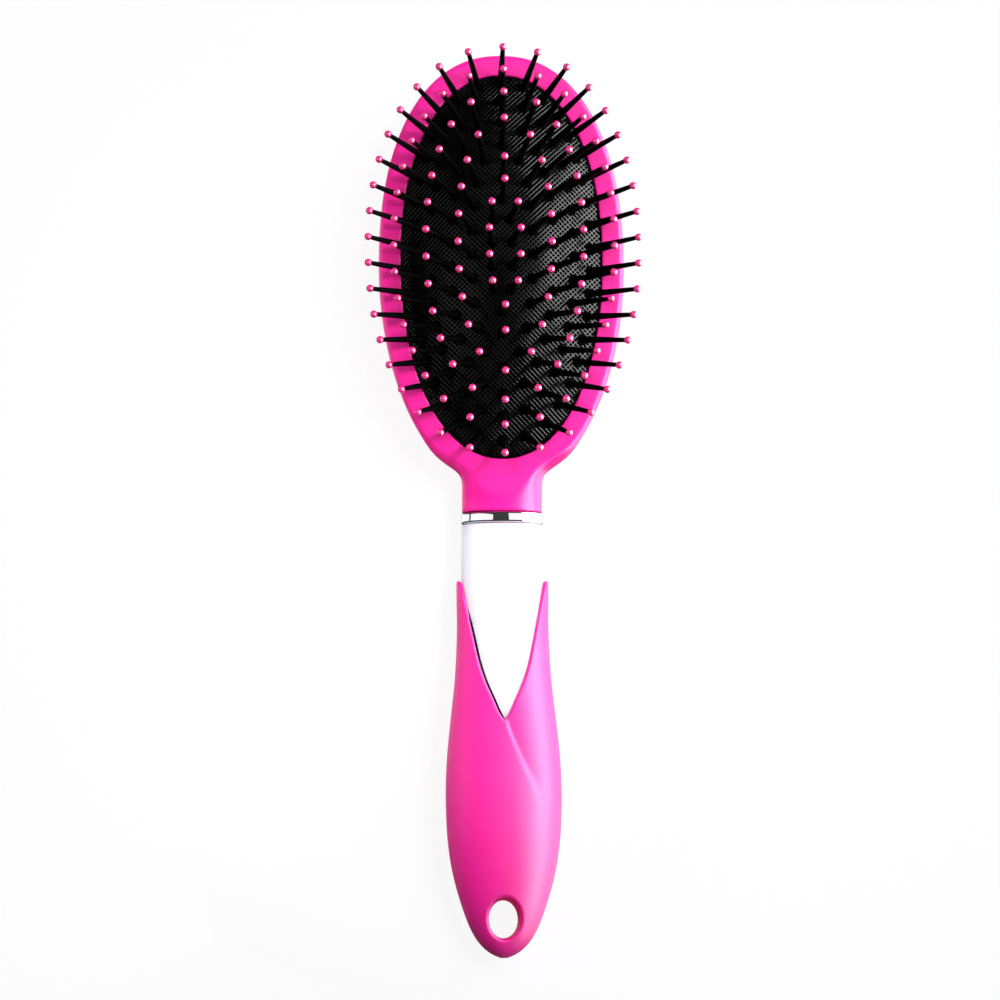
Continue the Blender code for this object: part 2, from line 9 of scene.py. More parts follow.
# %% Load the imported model
import math

import bmesh
import bpy
import numpy as np
from mathutils import Matrix, Vector


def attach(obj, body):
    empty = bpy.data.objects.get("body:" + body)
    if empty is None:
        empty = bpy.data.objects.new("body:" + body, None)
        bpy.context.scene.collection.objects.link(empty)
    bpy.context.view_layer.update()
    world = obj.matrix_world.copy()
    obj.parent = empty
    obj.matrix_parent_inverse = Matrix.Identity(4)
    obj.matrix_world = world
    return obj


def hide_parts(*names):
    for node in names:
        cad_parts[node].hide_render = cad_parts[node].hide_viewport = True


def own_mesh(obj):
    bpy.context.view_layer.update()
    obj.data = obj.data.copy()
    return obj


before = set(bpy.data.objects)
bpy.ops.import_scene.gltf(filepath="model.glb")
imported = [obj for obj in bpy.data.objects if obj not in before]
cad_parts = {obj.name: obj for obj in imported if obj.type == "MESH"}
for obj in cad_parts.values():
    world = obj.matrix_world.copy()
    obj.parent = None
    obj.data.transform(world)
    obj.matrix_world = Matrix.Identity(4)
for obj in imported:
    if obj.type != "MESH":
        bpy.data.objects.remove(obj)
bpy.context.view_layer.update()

# %% [markdown]
# ## Camera
# The photograph looks down on the brush from about a metre away, leaning 7.5 degrees towards the
# handle, so the tips of the upright pins shift a little towards the top of the head. A long lens
# keeps the outline nearly as flat as a drawing. The camera is made first, because the frame of
# the picture decides how much detail each piece needs: one pixel is about a quarter millimetre.

# %% Set up the camera
CAMERA_DISTANCE = 0.95
CAMERA_LEAN = math.radians(7.5)
CAMERA_YAW = math.radians(2.0)
CAMERA_ROLL = math.radians(0.27)
CAMERA_LENS_MM = 129.3
CAMERA_TARGET = Vector((-0.00063, 0.0, 0.012))

towards_camera = Vector((
    -math.sin(CAMERA_YAW) * math.cos(CAMERA_LEAN),
    -math.sin(CAMERA_LEAN),
    math.cos(CAMERA_YAW) * math.cos(CAMERA_LEAN),
))
camera_data = bpy.data.cameras.new("camera")
camera_data.lens = CAMERA_LENS_MM
camera_data.clip_start = 0.05
camera = bpy.data.objects.new("camera", camera_data)
bpy.context.scene.collection.objects.link(camera)
camera.location = CAMERA_TARGET + towards_camera * CAMERA_DISTANCE
upwards = Vector((math.sin(CAMERA_ROLL), math.cos(CAMERA_ROLL), 0.0))
camera_right = upwards.cross(towards_camera).normalized()
camera_up = towards_camera.cross(camera_right)
camera_turn = Matrix((camera_right, camera_up, towards_camera)).transposed()
camera.rotation_mode = "QUATERNION"
camera.rotation_quaternion = camera_turn.to_quaternion()
bpy.context.scene.camera = camera
print("Camera stands at", tuple(round(value, 3) for value in camera.location))

# %% [markdown]
# ## Sizes
# The same sizes as in the CAD model, so that each skin lies on its solid. The seam between the
# pink neck and the bright ring is where the two halves of the brush meet, and both halves are
# measured from it.

# %% Name the sizes
SEAM_Y = -0.00295
FIT_GAP = 0.0003
RIM_LEVEL = 0.015

# An egg is a half width, its reach to the top and to the foot, and the roundness of both halves
HEAD_CENTRE_FROM_SEAM = 0.0656
HEAD_CENTRE_Y = SEAM_Y + HEAD_CENTRE_FROM_SEAM
HEAD_EGG = (0.0327, 0.0575, 0.0603, 2.25, 2.0)
OPENING_CENTRE_FROM_SEAM = 0.0675
OPENING_CENTRE_Y = SEAM_Y + OPENING_CENTRE_FROM_SEAM
OPENING_EGG = (0.0268, 0.0497, 0.0539, 2.15, 2.15)
OPENING_CHAMFER = 0.0005
GROOVE_TOP = 0.0132
GROOVE_BOTTOM = 0.0113
GROOVE_DEPTH = 0.0016
WELL_FLOOR = 0.003

PAD_SKIN = 0.0013
PAD_SEAT = 0.0136
PAD_DOME_RISE = 0.011
PAD_EGG = (0.0265, 0.0494, 0.0536, 2.15, 2.15)
DOME_RADIUS = (PAD_EGG[0] ** 2 + PAD_DOME_RISE**2) / (2 * PAD_DOME_RISE)

HANDLE_LENGTH = 0.1172
HANDLE_HALF_WIDTH = 0.0152
HANDLE_DEPTH = 0.0216
HANDLE_ROUNDNESS = 2.2
GRIP_TIP_SHARE = 0.156
NECKLINE_POINT_SHARE = 0.476
CORE_END_SHARE = 0.785
GRIP_TIP_FROM_SEAM = HANDLE_LENGTH * GRIP_TIP_SHARE
NECKLINE_POINT_FROM_SEAM = HANDLE_LENGTH * NECKLINE_POINT_SHARE
CORE_END_FROM_SEAM = HANDLE_LENGTH * CORE_END_SHARE
GRIP_WALL_AT_TIPS = 0.0005
GRIP_WALL = 0.0011

# Share of the handle's length; then the half width as a share of the handle's own, and the
# lowest and the highest point as shares of its depth
HANDLE_SHARES = (
    (0.000, 0.750, 0.028, 0.703),
    (0.085, 0.763, 0.028, 0.731),
    (0.156, 0.775, 0.028, 0.759),
    (0.222, 0.793, 0.023, 0.792),
    (0.290, 0.800, 0.018, 0.826),
    (0.381, 0.838, 0.012, 0.880),
    (0.471, 0.914, 0.005, 0.940),
    (0.561, 0.980, 0.000, 0.984),
    (0.639, 1.000, 0.000, 1.000),
    (0.717, 0.982, 0.002, 0.984),
    (0.765, 0.945, 0.010, 0.950),
    (0.805, 0.895, 0.022, 0.910),
    (0.850, 0.810, 0.042, 0.852),
    (0.894, 0.704, 0.070, 0.785),
    (0.932, 0.590, 0.104, 0.712),
    (0.960, 0.470, 0.140, 0.650),
    (0.981, 0.325, 0.190, 0.580),
    (0.993, 0.190, 0.250, 0.510),
    (1.000, 0.060, 0.330, 0.430),
)
print("Dome radius of the pad:", round(DOME_RADIUS, 4))

# %% [markdown]
# ## Small helpers for shapes
# Almost every form here is a stack of rings. `follow` reads a table of stations as a smooth
# curve, made of one `cubic` from each station to the next. `egg` gives an oval whose two halves
# reach differently far, and `skin` joins rings of points into one closed mesh. Numpy does the
# arithmetic for whole rings at a time.

# %% Helpers for curves, ovals and lofts
def cubic(t, start, end, leaving, arriving):
    """A cubic from start to end as t goes from 0 to 1, with its slopes at both ends."""
    return (
        (2 * t**3 - 3 * t**2 + 1) * start
        + (t**3 - 2 * t**2 + t) * leaving
        + (3 * t**2 - 2 * t**3) * end
        + (t**3 - t**2) * arriving
    )


def follow(table, places, column=1):
    """Smooth values of one column of a table, at places along its first column."""
    rows = np.asarray(table, float)
    x = rows[:, 0]
    y = rows[:, column]
    places = np.asarray(places, float)
    before = np.concatenate(([0], np.arange(len(x) - 1)))
    after = np.concatenate((np.arange(1, len(x)), [len(x) - 1]))
    slope = (y[after] - y[before]) / (x[after] - x[before])
    index = np.clip(np.searchsorted(x, places) - 1, 0, len(x) - 2)
    span = x[index + 1] - x[index]
    t = (places - x[index]) / span
    return cubic(t, y[index], y[index + 1], slope[index] * span, slope[index + 1] * span)


def egg(shape, count, growth=0.0):
    """Points of an egg-shaped oval about its centre, clockwise from its top."""
    half_width, top, foot, power_top, power_foot = shape
    angle = math.tau * np.arange(count) / count
    along = np.cos(angle)
    across = np.sin(angle)
    reach = np.where(along > 0, top, foot) + growth
    power = np.where(along > 0, power_top, power_foot)
    x = (half_width + growth) * np.sign(across) * np.abs(across) ** (2 / power)
    y = reach * np.sign(along) * np.abs(along) ** (2 / power)
    return np.stack((x, y), axis=1)


def skin(name, rings, loop=False):
    """One closed mesh through rings of points: a loop of rings, or a stack with capped ends."""
    rings = np.asarray(rings, float)
    rows, columns, _ = rings.shape
    faces = []
    for row in range(rows if loop else rows - 1):
        here = row * columns
        there = (row + 1) % rows * columns
        for column in range(columns):
            beside = (column + 1) % columns
            faces.append((here + column, here + beside, there + beside, there + column))
    if not loop:
        faces.append(tuple(range(columns)))
        faces.append(tuple(range((rows - 1) * columns, rows * columns)))
    mesh = bpy.data.meshes.new(name)
    mesh.from_pydata(rings.reshape(-1, 3).tolist(), [], faces)
    return mesh


print("The opening in four points:", egg(OPENING_EGG, 4).round(4).tolist())

# %% [markdown]
# ## Helpers for finished pieces
# A loft can come out with its faces the wrong way round, so `tidy` welds it, turns its normals
# outwards and shades it smooth, with crisp edges only past an angle. `dress` then makes it a
# piece: it gets its finish, rides on a CAD body and stands for the CAD nodes that it covers.

# %% Tidy, link and dress a mesh
WELD = 0.000002
SMOOTH_CREASE = math.radians(38)


def tidy(mesh, crease=SMOOTH_CREASE):
    """Welds a mesh, points its faces outwards and shades it smooth."""
    shape = bmesh.new()
    shape.from_mesh(mesh)
    bmesh.ops.remove_doubles(shape, verts=shape.verts, dist=WELD)
    bmesh.ops.recalc_face_normals(shape, faces=shape.faces)
    shape.to_mesh(mesh)
    shape.free()
    mesh.shade_smooth()
    mesh.set_sharp_from_angle(angle=crease)
    return mesh


def link(name, mesh):
    """An object for a mesh, at the origin."""
    thing = bpy.data.objects.new(name, mesh)
    bpy.context.scene.collection.objects.link(thing)
    return thing


def final_mesh(thing):
    """The object's mesh with its modifiers worked in, as a plain mesh. The object goes."""
    graph = bpy.context.evaluated_depsgraph_get()
    mesh = bpy.data.meshes.new_from_object(thing.evaluated_get(graph))
    bpy.data.objects.remove(thing, do_unlink=True)
    return mesh


def dress(name, mesh, finish, body, slot, *nodes):
    """A finished piece that rides on a body and stands for the CAD nodes that it covers."""
    mesh.materials.clear()
    mesh.materials.append(finish)
    piece = link(name, mesh)
    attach(piece, body)
    if nodes:
        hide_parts(*nodes)
    mesh.calc_loop_triangles()
    print(f"{name}: {len(mesh.loop_triangles)} triangles")
    return piece


# %% [markdown]
# ## Surface groups shared by the finishes
# Two effects are needed on more than one finish, so each is a shader node group, made once.
# *moulded tone* drifts a colour and a roughness slowly over a part, as real mouldings do.
# *fine grain* is a height for a Bump node: the faint skin that a mould leaves on plastic or
# rubber. Both read Object coordinates, which are the model's own metres. Two helpers keep the
# node trees short: one adds a node with its values, the other draws the links.

# %% Helpers for node trees
def add_node(tree, kind, sockets=None, **settings):
    """A node of a kind, with its settings and the values of its own sockets."""
    node = tree.nodes.new(kind)
    for label, value in settings.items():
        setattr(node, label, value)
    for socket, value in (sockets or {}).items():
        node.inputs[socket].default_value = value
    return node


def wire(tree, *links):
    """Links, each from a node and its output to another node and its input."""
    for source, output, target, socket in links:
        tree.links.new(source.outputs[output], target.inputs[socket])


print("Node trees are built with add_node and wire")

# %% [markdown]
# ## The moulded tone
# The colour follows one slow noise. The roughness follows the mean of that noise and a much
# finer one, so that no face shines quite evenly.

# %% Build the moulded tone
def new_group(name, inputs, outputs):
    """A shader node group with named sockets, and its own input and output nodes."""
    group = bpy.data.node_groups.new(name, "ShaderNodeTree")
    for label, kind, value in inputs:
        socket = group.interface.new_socket(label, in_out="INPUT", socket_type=kind)
        socket.default_value = value
    for label, kind in outputs:
        group.interface.new_socket(label, in_out="OUTPUT", socket_type=kind)
    return group, add_node(group, "NodeGroupInput"), add_node(group, "NodeGroupOutput")


def moulded_tone_group():
    """Colour and roughness that drift slowly over a moulding."""
    group, start, end = new_group(
        "moulded tone",
        (
            ("Color", "NodeSocketColor", (0.8, 0.8, 0.8, 1.0)),
            ("Deep Color", "NodeSocketColor", (0.7, 0.7, 0.7, 1.0)),
            ("Smoothest", "NodeSocketFloat", 0.3),
            ("Roughest", "NodeSocketFloat", 0.4),
            ("Patch Size", "NodeSocketFloat", 60.0),
        ),
        (("Color", "NodeSocketColor"), ("Roughness", "NodeSocketFloat")),
    )
    place = add_node(group, "ShaderNodeTexCoord")
    patches = add_node(group, "ShaderNodeTexNoise", {"Detail": 3.0})
    specks = add_node(group, "ShaderNodeTexNoise", {"Detail": 6.0, "Scale": 900.0})
    mix = add_node(group, "ShaderNodeMix", data_type="RGBA")
    both = add_node(group, "ShaderNodeMath", operation="ADD")
    mean = add_node(group, "ShaderNodeMath", {1: 0.5}, operation="MULTIPLY")
    span = add_node(group, "ShaderNodeMapRange", {"From Min": 0.3, "From Max": 0.7})
    wire(
        group,
        (place, "Object", patches, "Vector"),
        (place, "Object", specks, "Vector"),
        (start, "Patch Size", patches, "Scale"),
        (patches, "Fac", mix, "Factor"),
        (start, "Color", mix, "A"),
        (start, "Deep Color", mix, "B"),
        (patches, "Fac", both, 0),
        (specks, "Fac", both, 1),
        (both, 0, mean, 0),
        (mean, 0, span, "Value"),
        (start, "Smoothest", span, "To Min"),
        (start, "Roughest", span, "To Max"),
        (mix, "Result", end, "Color"),
        (span, "Result", end, "Roughness"),
    )
    return group


moulded_tone = moulded_tone_group()
print("Sockets of the tone:", [socket.name for socket in moulded_tone.interface.items_tree])

# %% [markdown]
# ## The fine grain
# The grain is a single fine noise. How deep it goes is left to each finish's Bump node.

# %% Build the fine grain
def fine_grain_group():
    """A height for a Bump node: the fine grain that a mould leaves."""
    group, start, end = new_group(
        "fine grain",
        (("Grain Scale", "NodeSocketFloat", 3000.0),),
        (("Height", "NodeSocketFloat"),),
    )
    place = add_node(group, "ShaderNodeTexCoord")
    grain = add_node(group, "ShaderNodeTexNoise", {"Detail": 4.0})
    wire(
        group,
        (place, "Object", grain, "Vector"),
        (start, "Grain Scale", grain, "Scale"),
        (grain, "Fac", end, "Height"),
    )
    return group


fine_grain = fine_grain_group()
print("Shader groups:", [group.name for group in bpy.data.node_groups])

# %% [markdown]
# ## Finishes: the pinks
# Each finish has its own Principled BSDF, and the groups feed its colour, roughness and bump.
# The head is a glossy moulding and the grip a satin soft-touch skin. Both are the same pink.

# %% Make the pinks
def new_finish(name, colors, roughness, patch, grain, depth, **uniform):
    """A material from the two groups. The last values go on the shader's own sockets."""
    material = bpy.data.materials.new(name)
    material.use_nodes = True
    tree = material.node_tree
    shader = tree.nodes["Principled BSDF"]
    drift = {
        "Color": (*colors[0], 1.0),
        "Deep Color": (*colors[1], 1.0),
        "Smoothest": roughness[0],
        "Roughest": roughness[1],
        "Patch Size": patch,
    }
    tone = add_node(tree, "ShaderNodeGroup", drift, node_tree=moulded_tone)
    skin_grain = add_node(tree, "ShaderNodeGroup", {"Grain Scale": grain}, node_tree=fine_grain)
    bump = add_node(tree, "ShaderNodeBump", {"Distance": depth})
    wire(
        tree,
        (tone, "Color", shader, "Base Color"),
        (tone, "Roughness", shader, "Roughness"),
        (skin_grain, "Height", bump, "Height"),
        (bump, "Normal", shader, "Normal"),
    )
    for label, value in uniform.items():
        shader.inputs[label.replace("_", " ")].default_value = value
    return material


PINKS = ((1.0, 0.012, 0.32), (0.96, 0.010, 0.285))

head_pink = new_finish(
    "head_gloss_pink", PINKS, roughness=(0.27, 0.33), patch=45.0, grain=2600.0,
    depth=0.000006, Specular_IOR_Level=0.33,
)
grip_pink = new_finish(
    "grip_satin_pink", PINKS, roughness=(0.42, 0.50), patch=40.0, grain=5200.0,
    depth=0.000012, Specular_IOR_Level=0.42,
)
print("Pinks:", head_pink.name, "and", grip_pink.name)

# %% [markdown]
# ## Finishes: rubber, nylon, plating and white
# The pins are black nylon with dipped pearly tips, the cushion dull black rubber with shinier
# ridges, the ring bright plating and the collar gloss white, which lets a little light through.

# %% Make the other finishes
RUBBER_BLACKS = ((0.0006, 0.0006, 0.0007), (0.0010, 0.0010, 0.0010))
NYLON_BLACKS = ((0.0007, 0.0007, 0.0008), (0.0012, 0.0012, 0.0012))
PEARLY_PINKS = ((0.84, 0.022, 0.21), (0.76, 0.016, 0.18))
PLATINGS = ((0.90, 0.90, 0.92), (0.86, 0.87, 0.89))
WHITES = ((0.96, 0.96, 0.965), (0.94, 0.94, 0.95))

pad_black = new_finish(
    "pad_rubber_black", RUBBER_BLACKS, roughness=(0.50, 0.62), patch=90.0, grain=4000.0,
    depth=0.00002, Specular_IOR_Level=0.005,
)
crest_black = new_finish(
    "pad_crest_black", RUBBER_BLACKS, roughness=(0.13, 0.19), patch=90.0, grain=6000.0,
    depth=0.000003, Specular_IOR_Level=0.28,
)
pin_black = new_finish(
    "pin_nylon_black", NYLON_BLACKS, roughness=(0.38, 0.46), patch=200.0, grain=3000.0,
    depth=0.00001, Specular_IOR_Level=0.05,
)
ball_pink = new_finish(
    "tip_pearly_pink", PEARLY_PINKS, roughness=(0.24, 0.30), patch=500.0, grain=3000.0,
    depth=0.000003, Specular_IOR_Level=0.7, IOR=1.7,
)
ring_chrome = new_finish(
    "ring_plating", PLATINGS, roughness=(0.03, 0.06), patch=150.0, grain=2600.0,
    depth=0.000001, Metallic=1.0,
)
core_white = new_finish(
    "collar_gloss_white", WHITES, roughness=(0.16, 0.22), patch=60.0, grain=2400.0,
    depth=0.000003, Coat_Weight=0.3, Coat_Roughness=0.06, Subsurface_Weight=0.8,
    Subsurface_Radius=(1.0, 1.0, 1.0), Subsurface_Scale=0.006,
)
print("Materials now:", [material.name for material in bpy.data.materials])

# %% [markdown]
# ## Head and neck: the outline
# The head is one moulding: an egg-shaped tray whose rim is flat in front and rounded outside,
# and which narrows through a hollow curve into the neck. A union of two lofts would leave a
# crease there. Here one smooth outline runs from the seam up the neck, round the hollow and
# over the egg, and the whole surface is hung from it, half a head at a time.

# %% Draw the right half of the head's outline
# Distance from the seam, and half width there
NECK_OUTLINE = (
    (0.00000, 0.01061),
    (0.00250, 0.01062),
    (0.00500, 0.01063),
    (0.00760, 0.01066),
    (0.00890, 0.01086),
    (0.01020, 0.01150),
    (0.01150, 0.01300),
    (0.01300, 0.01520),
    (0.01470, 0.01735),
    (0.01680, 0.01930),
)
EGG_START = 0.0200
EGG_STATIONS = (EGG_START, 0.0240, 0.0280)
NECK_STEPS = 400
EGG_STEPS = 1200


def head_half_width(y):
    """Half width of the head's egg at a distance from the seam."""
    half_width, _, foot, _, power = HEAD_EGG
    return half_width * (1 - ((HEAD_CENTRE_FROM_SEAM - y) / foot) ** power) ** (1 / power)


def half_egg(shape, centre_y, growth=0.0):
    """The right half of an egg, from its foot up, about a centre on the middle line."""
    half = egg(shape, 2 * EGG_STEPS, growth)[:EGG_STEPS + 1][::-1]
    return half + (0.0, centre_y)


def walk(points):
    """How far along a path each of its points lies."""
    steps = np.linalg.norm(np.diff(points, axis=0), axis=1)
    return np.concatenate(([0.0], np.cumsum(steps)))


egg_rows = tuple((y, head_half_width(y)) for y in EGG_STATIONS)
neck_y = np.linspace(0.0, EGG_START, NECK_STEPS, endpoint=False)
neck_x = follow(NECK_OUTLINE + egg_rows, neck_y)
half = half_egg(HEAD_EGG, HEAD_CENTRE_FROM_SEAM)
half = half[half[:, 1] >= EGG_START]
outline = np.concatenate((np.stack((neck_x, neck_y), axis=1), half))
outline[:, 1] += SEAM_Y
walked = walk(outline)
print("Half outline of the head is", round(walked[-1], 4), "long")

# %% [markdown]
# ## Head and neck: the surface
# Across the brush each column of points runs from the middle of the back, round the outline,
# to the middle of the neck's front or to the edge of the cushion's opening. Its height comes
# from how deep a point lies inside the outline: a quarter of a rounded section, tall on the
# neck and tight on the rim. The front is then cut off softly at the rim's level, which gives
# the flat face that runs out on the neck as a round tongue.

# %% Helpers for a rounded section
# Depth is measured from every third point of the outline, for this many places at a time
OUTLINE_STRIDE = 3
CHUNK = 2000


def smoothstep(low, high, value):
    """Nought below low, one above high and an easy curve between."""
    t = np.clip((value - low) / (high - low), 0.0, 1.0)
    return t * t * (3 - 2 * t)


def depth_inside(points):
    """How far each point lies inside the outline."""
    steps = outline[::OUTLINE_STRIDE]
    flat = points.reshape(-1, 2)
    result = np.empty(len(flat))
    start = steps[:-1]
    run = steps[1:] - start
    length = (run**2).sum(axis=1)
    for first in range(0, len(flat), CHUNK):
        chunk = flat[first:first + CHUNK, None, :]
        t = np.clip(((chunk - start) * run).sum(axis=2) / length, 0.0, 1.0)
        near = start + t[:, :, None] * run
        result[first:first + CHUNK] = np.sqrt(((chunk - near) ** 2).sum(axis=2).min(axis=1))
    return result.reshape(points.shape[:-1])


def rounded(share):
    """Height of a rounded section at a share of the way in from its edge."""
    inside = np.clip(share, 0.0, 1.0)
    return (1 - (1 - inside) ** HANDLE_ROUNDNESS) ** (1 / HANDLE_ROUNDNESS)


def eased(rows):
    """Shares of a rounded section's width that are evenly spread along its curve."""
    angle = np.linspace(0.0, math.pi / 2, rows)
    return 1 - np.cos(angle) ** (2 / HANDLE_ROUNDNESS)


print("A rounded section in five rows:", eased(5).round(2).tolist())

# %% [markdown]
# ## Head and neck: the columns
# The columns stand closer together on the neck and its hollow than on the egg. Each has a
# section of its own: its highest, widest and lowest levels, and how far it rolls in at the
# front and at the back. In the hollow the neck's section turns into the head's.

# %% Spread the columns and give each its section
HEAD_COLUMNS = 190
NECK_COLUMNS = 64
# Distance from the seam, and highest point of the neck there
NECK_CROWN = (
    (0.0000, 0.01437),
    (0.0018, 0.01458),
    (0.0035, 0.01500),
    (0.0056, 0.01585),
    (0.0079, 0.01675),
    (0.0096, 0.01755),
    (0.0110, 0.01800),
    (0.0300, 0.01800),
)
# Distances from the seam over which the columns turn towards the egg's middle, and over which
# the neck's section turns into the head's
TURNING_RUN = (0.0065, 0.0235)
HEAD_RUN = (0.0085, 0.0200)
NECK_HALF_WIDTH = 0.0106
NECK_BOTTOM = 0.00141
NECK_BOTTOM_FALL = 0.00042
NECK_FALL_RUN = (0.0, 0.0164)
HEAD_WIDEST_LEVEL = 0.0124
HEAD_TOP_LEVEL = 0.0153
HEAD_FRONT_ROLL = 0.0021
HEAD_BACK_ROLL = 0.0136

neck_part = walked[NECK_STEPS]
column_at = np.concatenate((
    np.linspace(0.0, neck_part, NECK_COLUMNS, endpoint=False),
    np.linspace(neck_part, walked[-1], HEAD_COLUMNS - NECK_COLUMNS),
))
edge = np.stack((
    np.interp(column_at, walked, outline[:, 0]),
    np.interp(column_at, walked, outline[:, 1]),
), axis=1)
edge[-1, 0] = 0.0
edge_y = edge[:, 1]
from_seam = edge_y - SEAM_Y

# Where each column ends on the back's middle line
egg_reach = np.where(edge_y > HEAD_CENTRE_Y, HEAD_EGG[1], HEAD_EGG[2])
squat = 1 - (HEAD_EGG[0] / egg_reach) ** 2
egg_foot = HEAD_CENTRE_Y + (edge_y - HEAD_CENTRE_Y) * squat
turning = smoothstep(*TURNING_RUN, from_seam)
middle_y = edge_y * (1 - turning) + egg_foot * turning
middle = np.stack((np.zeros(HEAD_COLUMNS), middle_y), axis=1)

to_head = smoothstep(*HEAD_RUN, from_seam)


def neck_to_head(neck, head):
    """A size of each column's section: the neck's, which turns into the head's."""
    return neck * (1 - to_head) + head * to_head


crown = follow(NECK_CROWN, np.clip(from_seam, 0.0, NECK_CROWN[-1][0]))
neck_bottom = NECK_BOTTOM - NECK_BOTTOM_FALL * smoothstep(*NECK_FALL_RUN, from_seam)
widest_level = neck_to_head((crown + neck_bottom) / 2, HEAD_WIDEST_LEVEL)
top_level = neck_to_head(crown, HEAD_TOP_LEVEL)
low_level = neck_to_head(neck_bottom, 0.0)
front_roll = neck_to_head(NECK_HALF_WIDTH, HEAD_FRONT_ROLL)
back_roll = neck_to_head(NECK_HALF_WIDTH, HEAD_BACK_ROLL)
print("Neck and hollow take", round(neck_part, 4), "of the outline's", round(walked[-1], 4))

# %% [markdown]
# ## Head and neck: the back
# Each column of the back is a run of points from the outline to the middle line. They lie
# close together over the rounded edge, where the surface turns, and far apart on the flat.

# %% Hang the back's rows
ROLLED_BACK_ROWS = 20
FLAT_BACK_ROWS = 6
MOST_ROLLED_SHARE = 0.94


def rows_inwards(ends, roll, rolled_rows, flat_rows):
    """Points from the outline inwards to each column's end, dense over the rounded edge."""
    run = ends - edge
    length = np.linalg.norm(run, axis=1)
    bend = np.minimum(roll / length, MOST_ROLLED_SHARE)
    shares = np.concatenate((
        eased(rolled_rows)[:, None] * bend,
        bend + (1 - bend) * np.linspace(0.0, 1.0, flat_rows + 1)[1:, None],
    ))
    return edge + shares[:, :, None] * run


back = rows_inwards(middle, back_roll, ROLLED_BACK_ROWS, FLAT_BACK_ROWS)
back_depth = depth_inside(back)
back_z = widest_level - (widest_level - low_level) * rounded(back_depth / back_roll)
print("Back of the head:", back.shape, "lowest", round(float(back_z.min()), 5))

# %% [markdown]
# ## Head and neck: where the front ends
# On the front each column has to end on one path: up the middle of the neck, then round the
# edge of the opening. On the neck a column runs straight across to the middle line, and on the
# egg it ends where its line to the middle meets the opening.

# %% Find where the front's columns end
# Columns up to here run straight across the neck, and columns from there on meet the opening
STRAIGHT_END = 0.0045
MEETING_START = 0.0185
LINE_STEPS = 200
RIM_STRIDE = 8

rim_edge = half_egg(OPENING_EGG, OPENING_CENTRE_Y, OPENING_CHAMFER)
rim_walked = walk(rim_edge)
neck_run = rim_edge[0, 1] - SEAM_Y


def crossing(start, end):
    """How far along the end path a line from the outline to the middle meets the opening."""
    ways = np.linspace(0.0, 1.0, LINE_STEPS)
    line = start + ways[:, None] * (end - start)
    gaps = np.linalg.norm(line[:, None, :] - rim_edge[None, ::RIM_STRIDE, :], axis=2)
    nearest = np.unravel_index(gaps.argmin(), gaps.shape)[1]
    return neck_run + rim_walked[::RIM_STRIDE][nearest]


path = np.empty(HEAD_COLUMNS)
straight = np.flatnonzero(from_seam <= STRAIGHT_END)
met = np.flatnonzero(from_seam >= MEETING_START)
path[straight] = from_seam[straight]
path[met] = [crossing(edge[index], middle[index]) for index in met]

# In between a cubic leads from the one to the other
low, high = straight[-1], met[0]
run = column_at[high] - column_at[low]
t = (column_at[low:high + 1] - column_at[low]) / run
path[low:high + 1] = cubic(t, path[low], path[high], run, run)
path = np.maximum.accumulate(path)
path[-1] = neck_run + rim_walked[-1]
corner = int(np.abs(path - neck_run).argmin())
path[corner] = neck_run
on_rim = np.clip(path - neck_run, 0.0, rim_walked[-1])
ends = np.stack((
    np.where(path > neck_run, np.interp(on_rim, rim_walked, rim_edge[:, 0]), 0.0),
    np.where(path > neck_run, np.interp(on_rim, rim_walked, rim_edge[:, 1]), SEAM_Y + path),
), axis=1)
ends[-1, 0] = 0.0
print("The opening starts at column", corner, "of", HEAD_COLUMNS)

# %% [markdown]
# ## Head and neck: the front's rows
# The front arches over the rounded edge like the back. A soft minimum of that arch and the
# rim's level then cuts it off flat.

# %% Hang the front's rows
ROLLED_FRONT_ROWS = 18
FLAT_FRONT_ROWS = 12
CLIP_SOFTNESS = 0.0003

front = rows_inwards(ends, front_roll, ROLLED_FRONT_ROWS, FLAT_FRONT_ROWS)
front_depth = depth_inside(front)
arch = widest_level + (top_level - widest_level) * rounded(front_depth / front_roll)
part = np.clip(0.5 + 0.5 * (RIM_LEVEL - arch) / CLIP_SOFTNESS, 0.0, 1.0)
front_z = arch * part + RIM_LEVEL * (1 - part) - CLIP_SOFTNESS * part * (1 - part)
print("Front of the head:", front.shape, "highest", round(float(front_z.max()), 5))

# %% [markdown]
# ## Head: the neck's end and the well
# Behind the opening's edge the moulding goes on as in the real brush: a lip, a groove that
# grips the cushion's flange, and a shallow well that the cushion can press into. Its rows go on
# from the front's last row. Like the back and the front, they are made for the right half only.

# %% Add the neck's end and the well
NECK_HALF_DEPTH = 0.0065


def at_level(plan, level):
    """Points of the plan at a level, which is one for all or one for each."""
    levels = np.broadcast_to(level, plan.shape[:-1])
    return np.concatenate((plan, levels[..., None]), axis=-1)


# From the middle of the back, out to the outline and in again over the front
half_shell = np.concatenate((at_level(back, back_z)[:0:-1], at_level(front, front_z)))

# The neck's end is drawn in a little, which eases its edge against the bright ring
EASE = ((0.0, 0.00018), (0.00004, 0.00006), (0.00014, 0.0))
neck_end = half_shell[:, 0].copy()
neck_middle = widest_level[0]
above_middle = neck_end[:, 2] - neck_middle
for column, (step, inset) in enumerate(EASE):
    half_shell[:, column, 0] = neck_end[:, 0] * (1 - inset / NECK_HALF_WIDTH)
    half_shell[:, column, 1] = SEAM_Y + step
    half_shell[:, column, 2] = neck_middle + above_middle * (1 - inset / NECK_HALF_DEPTH)

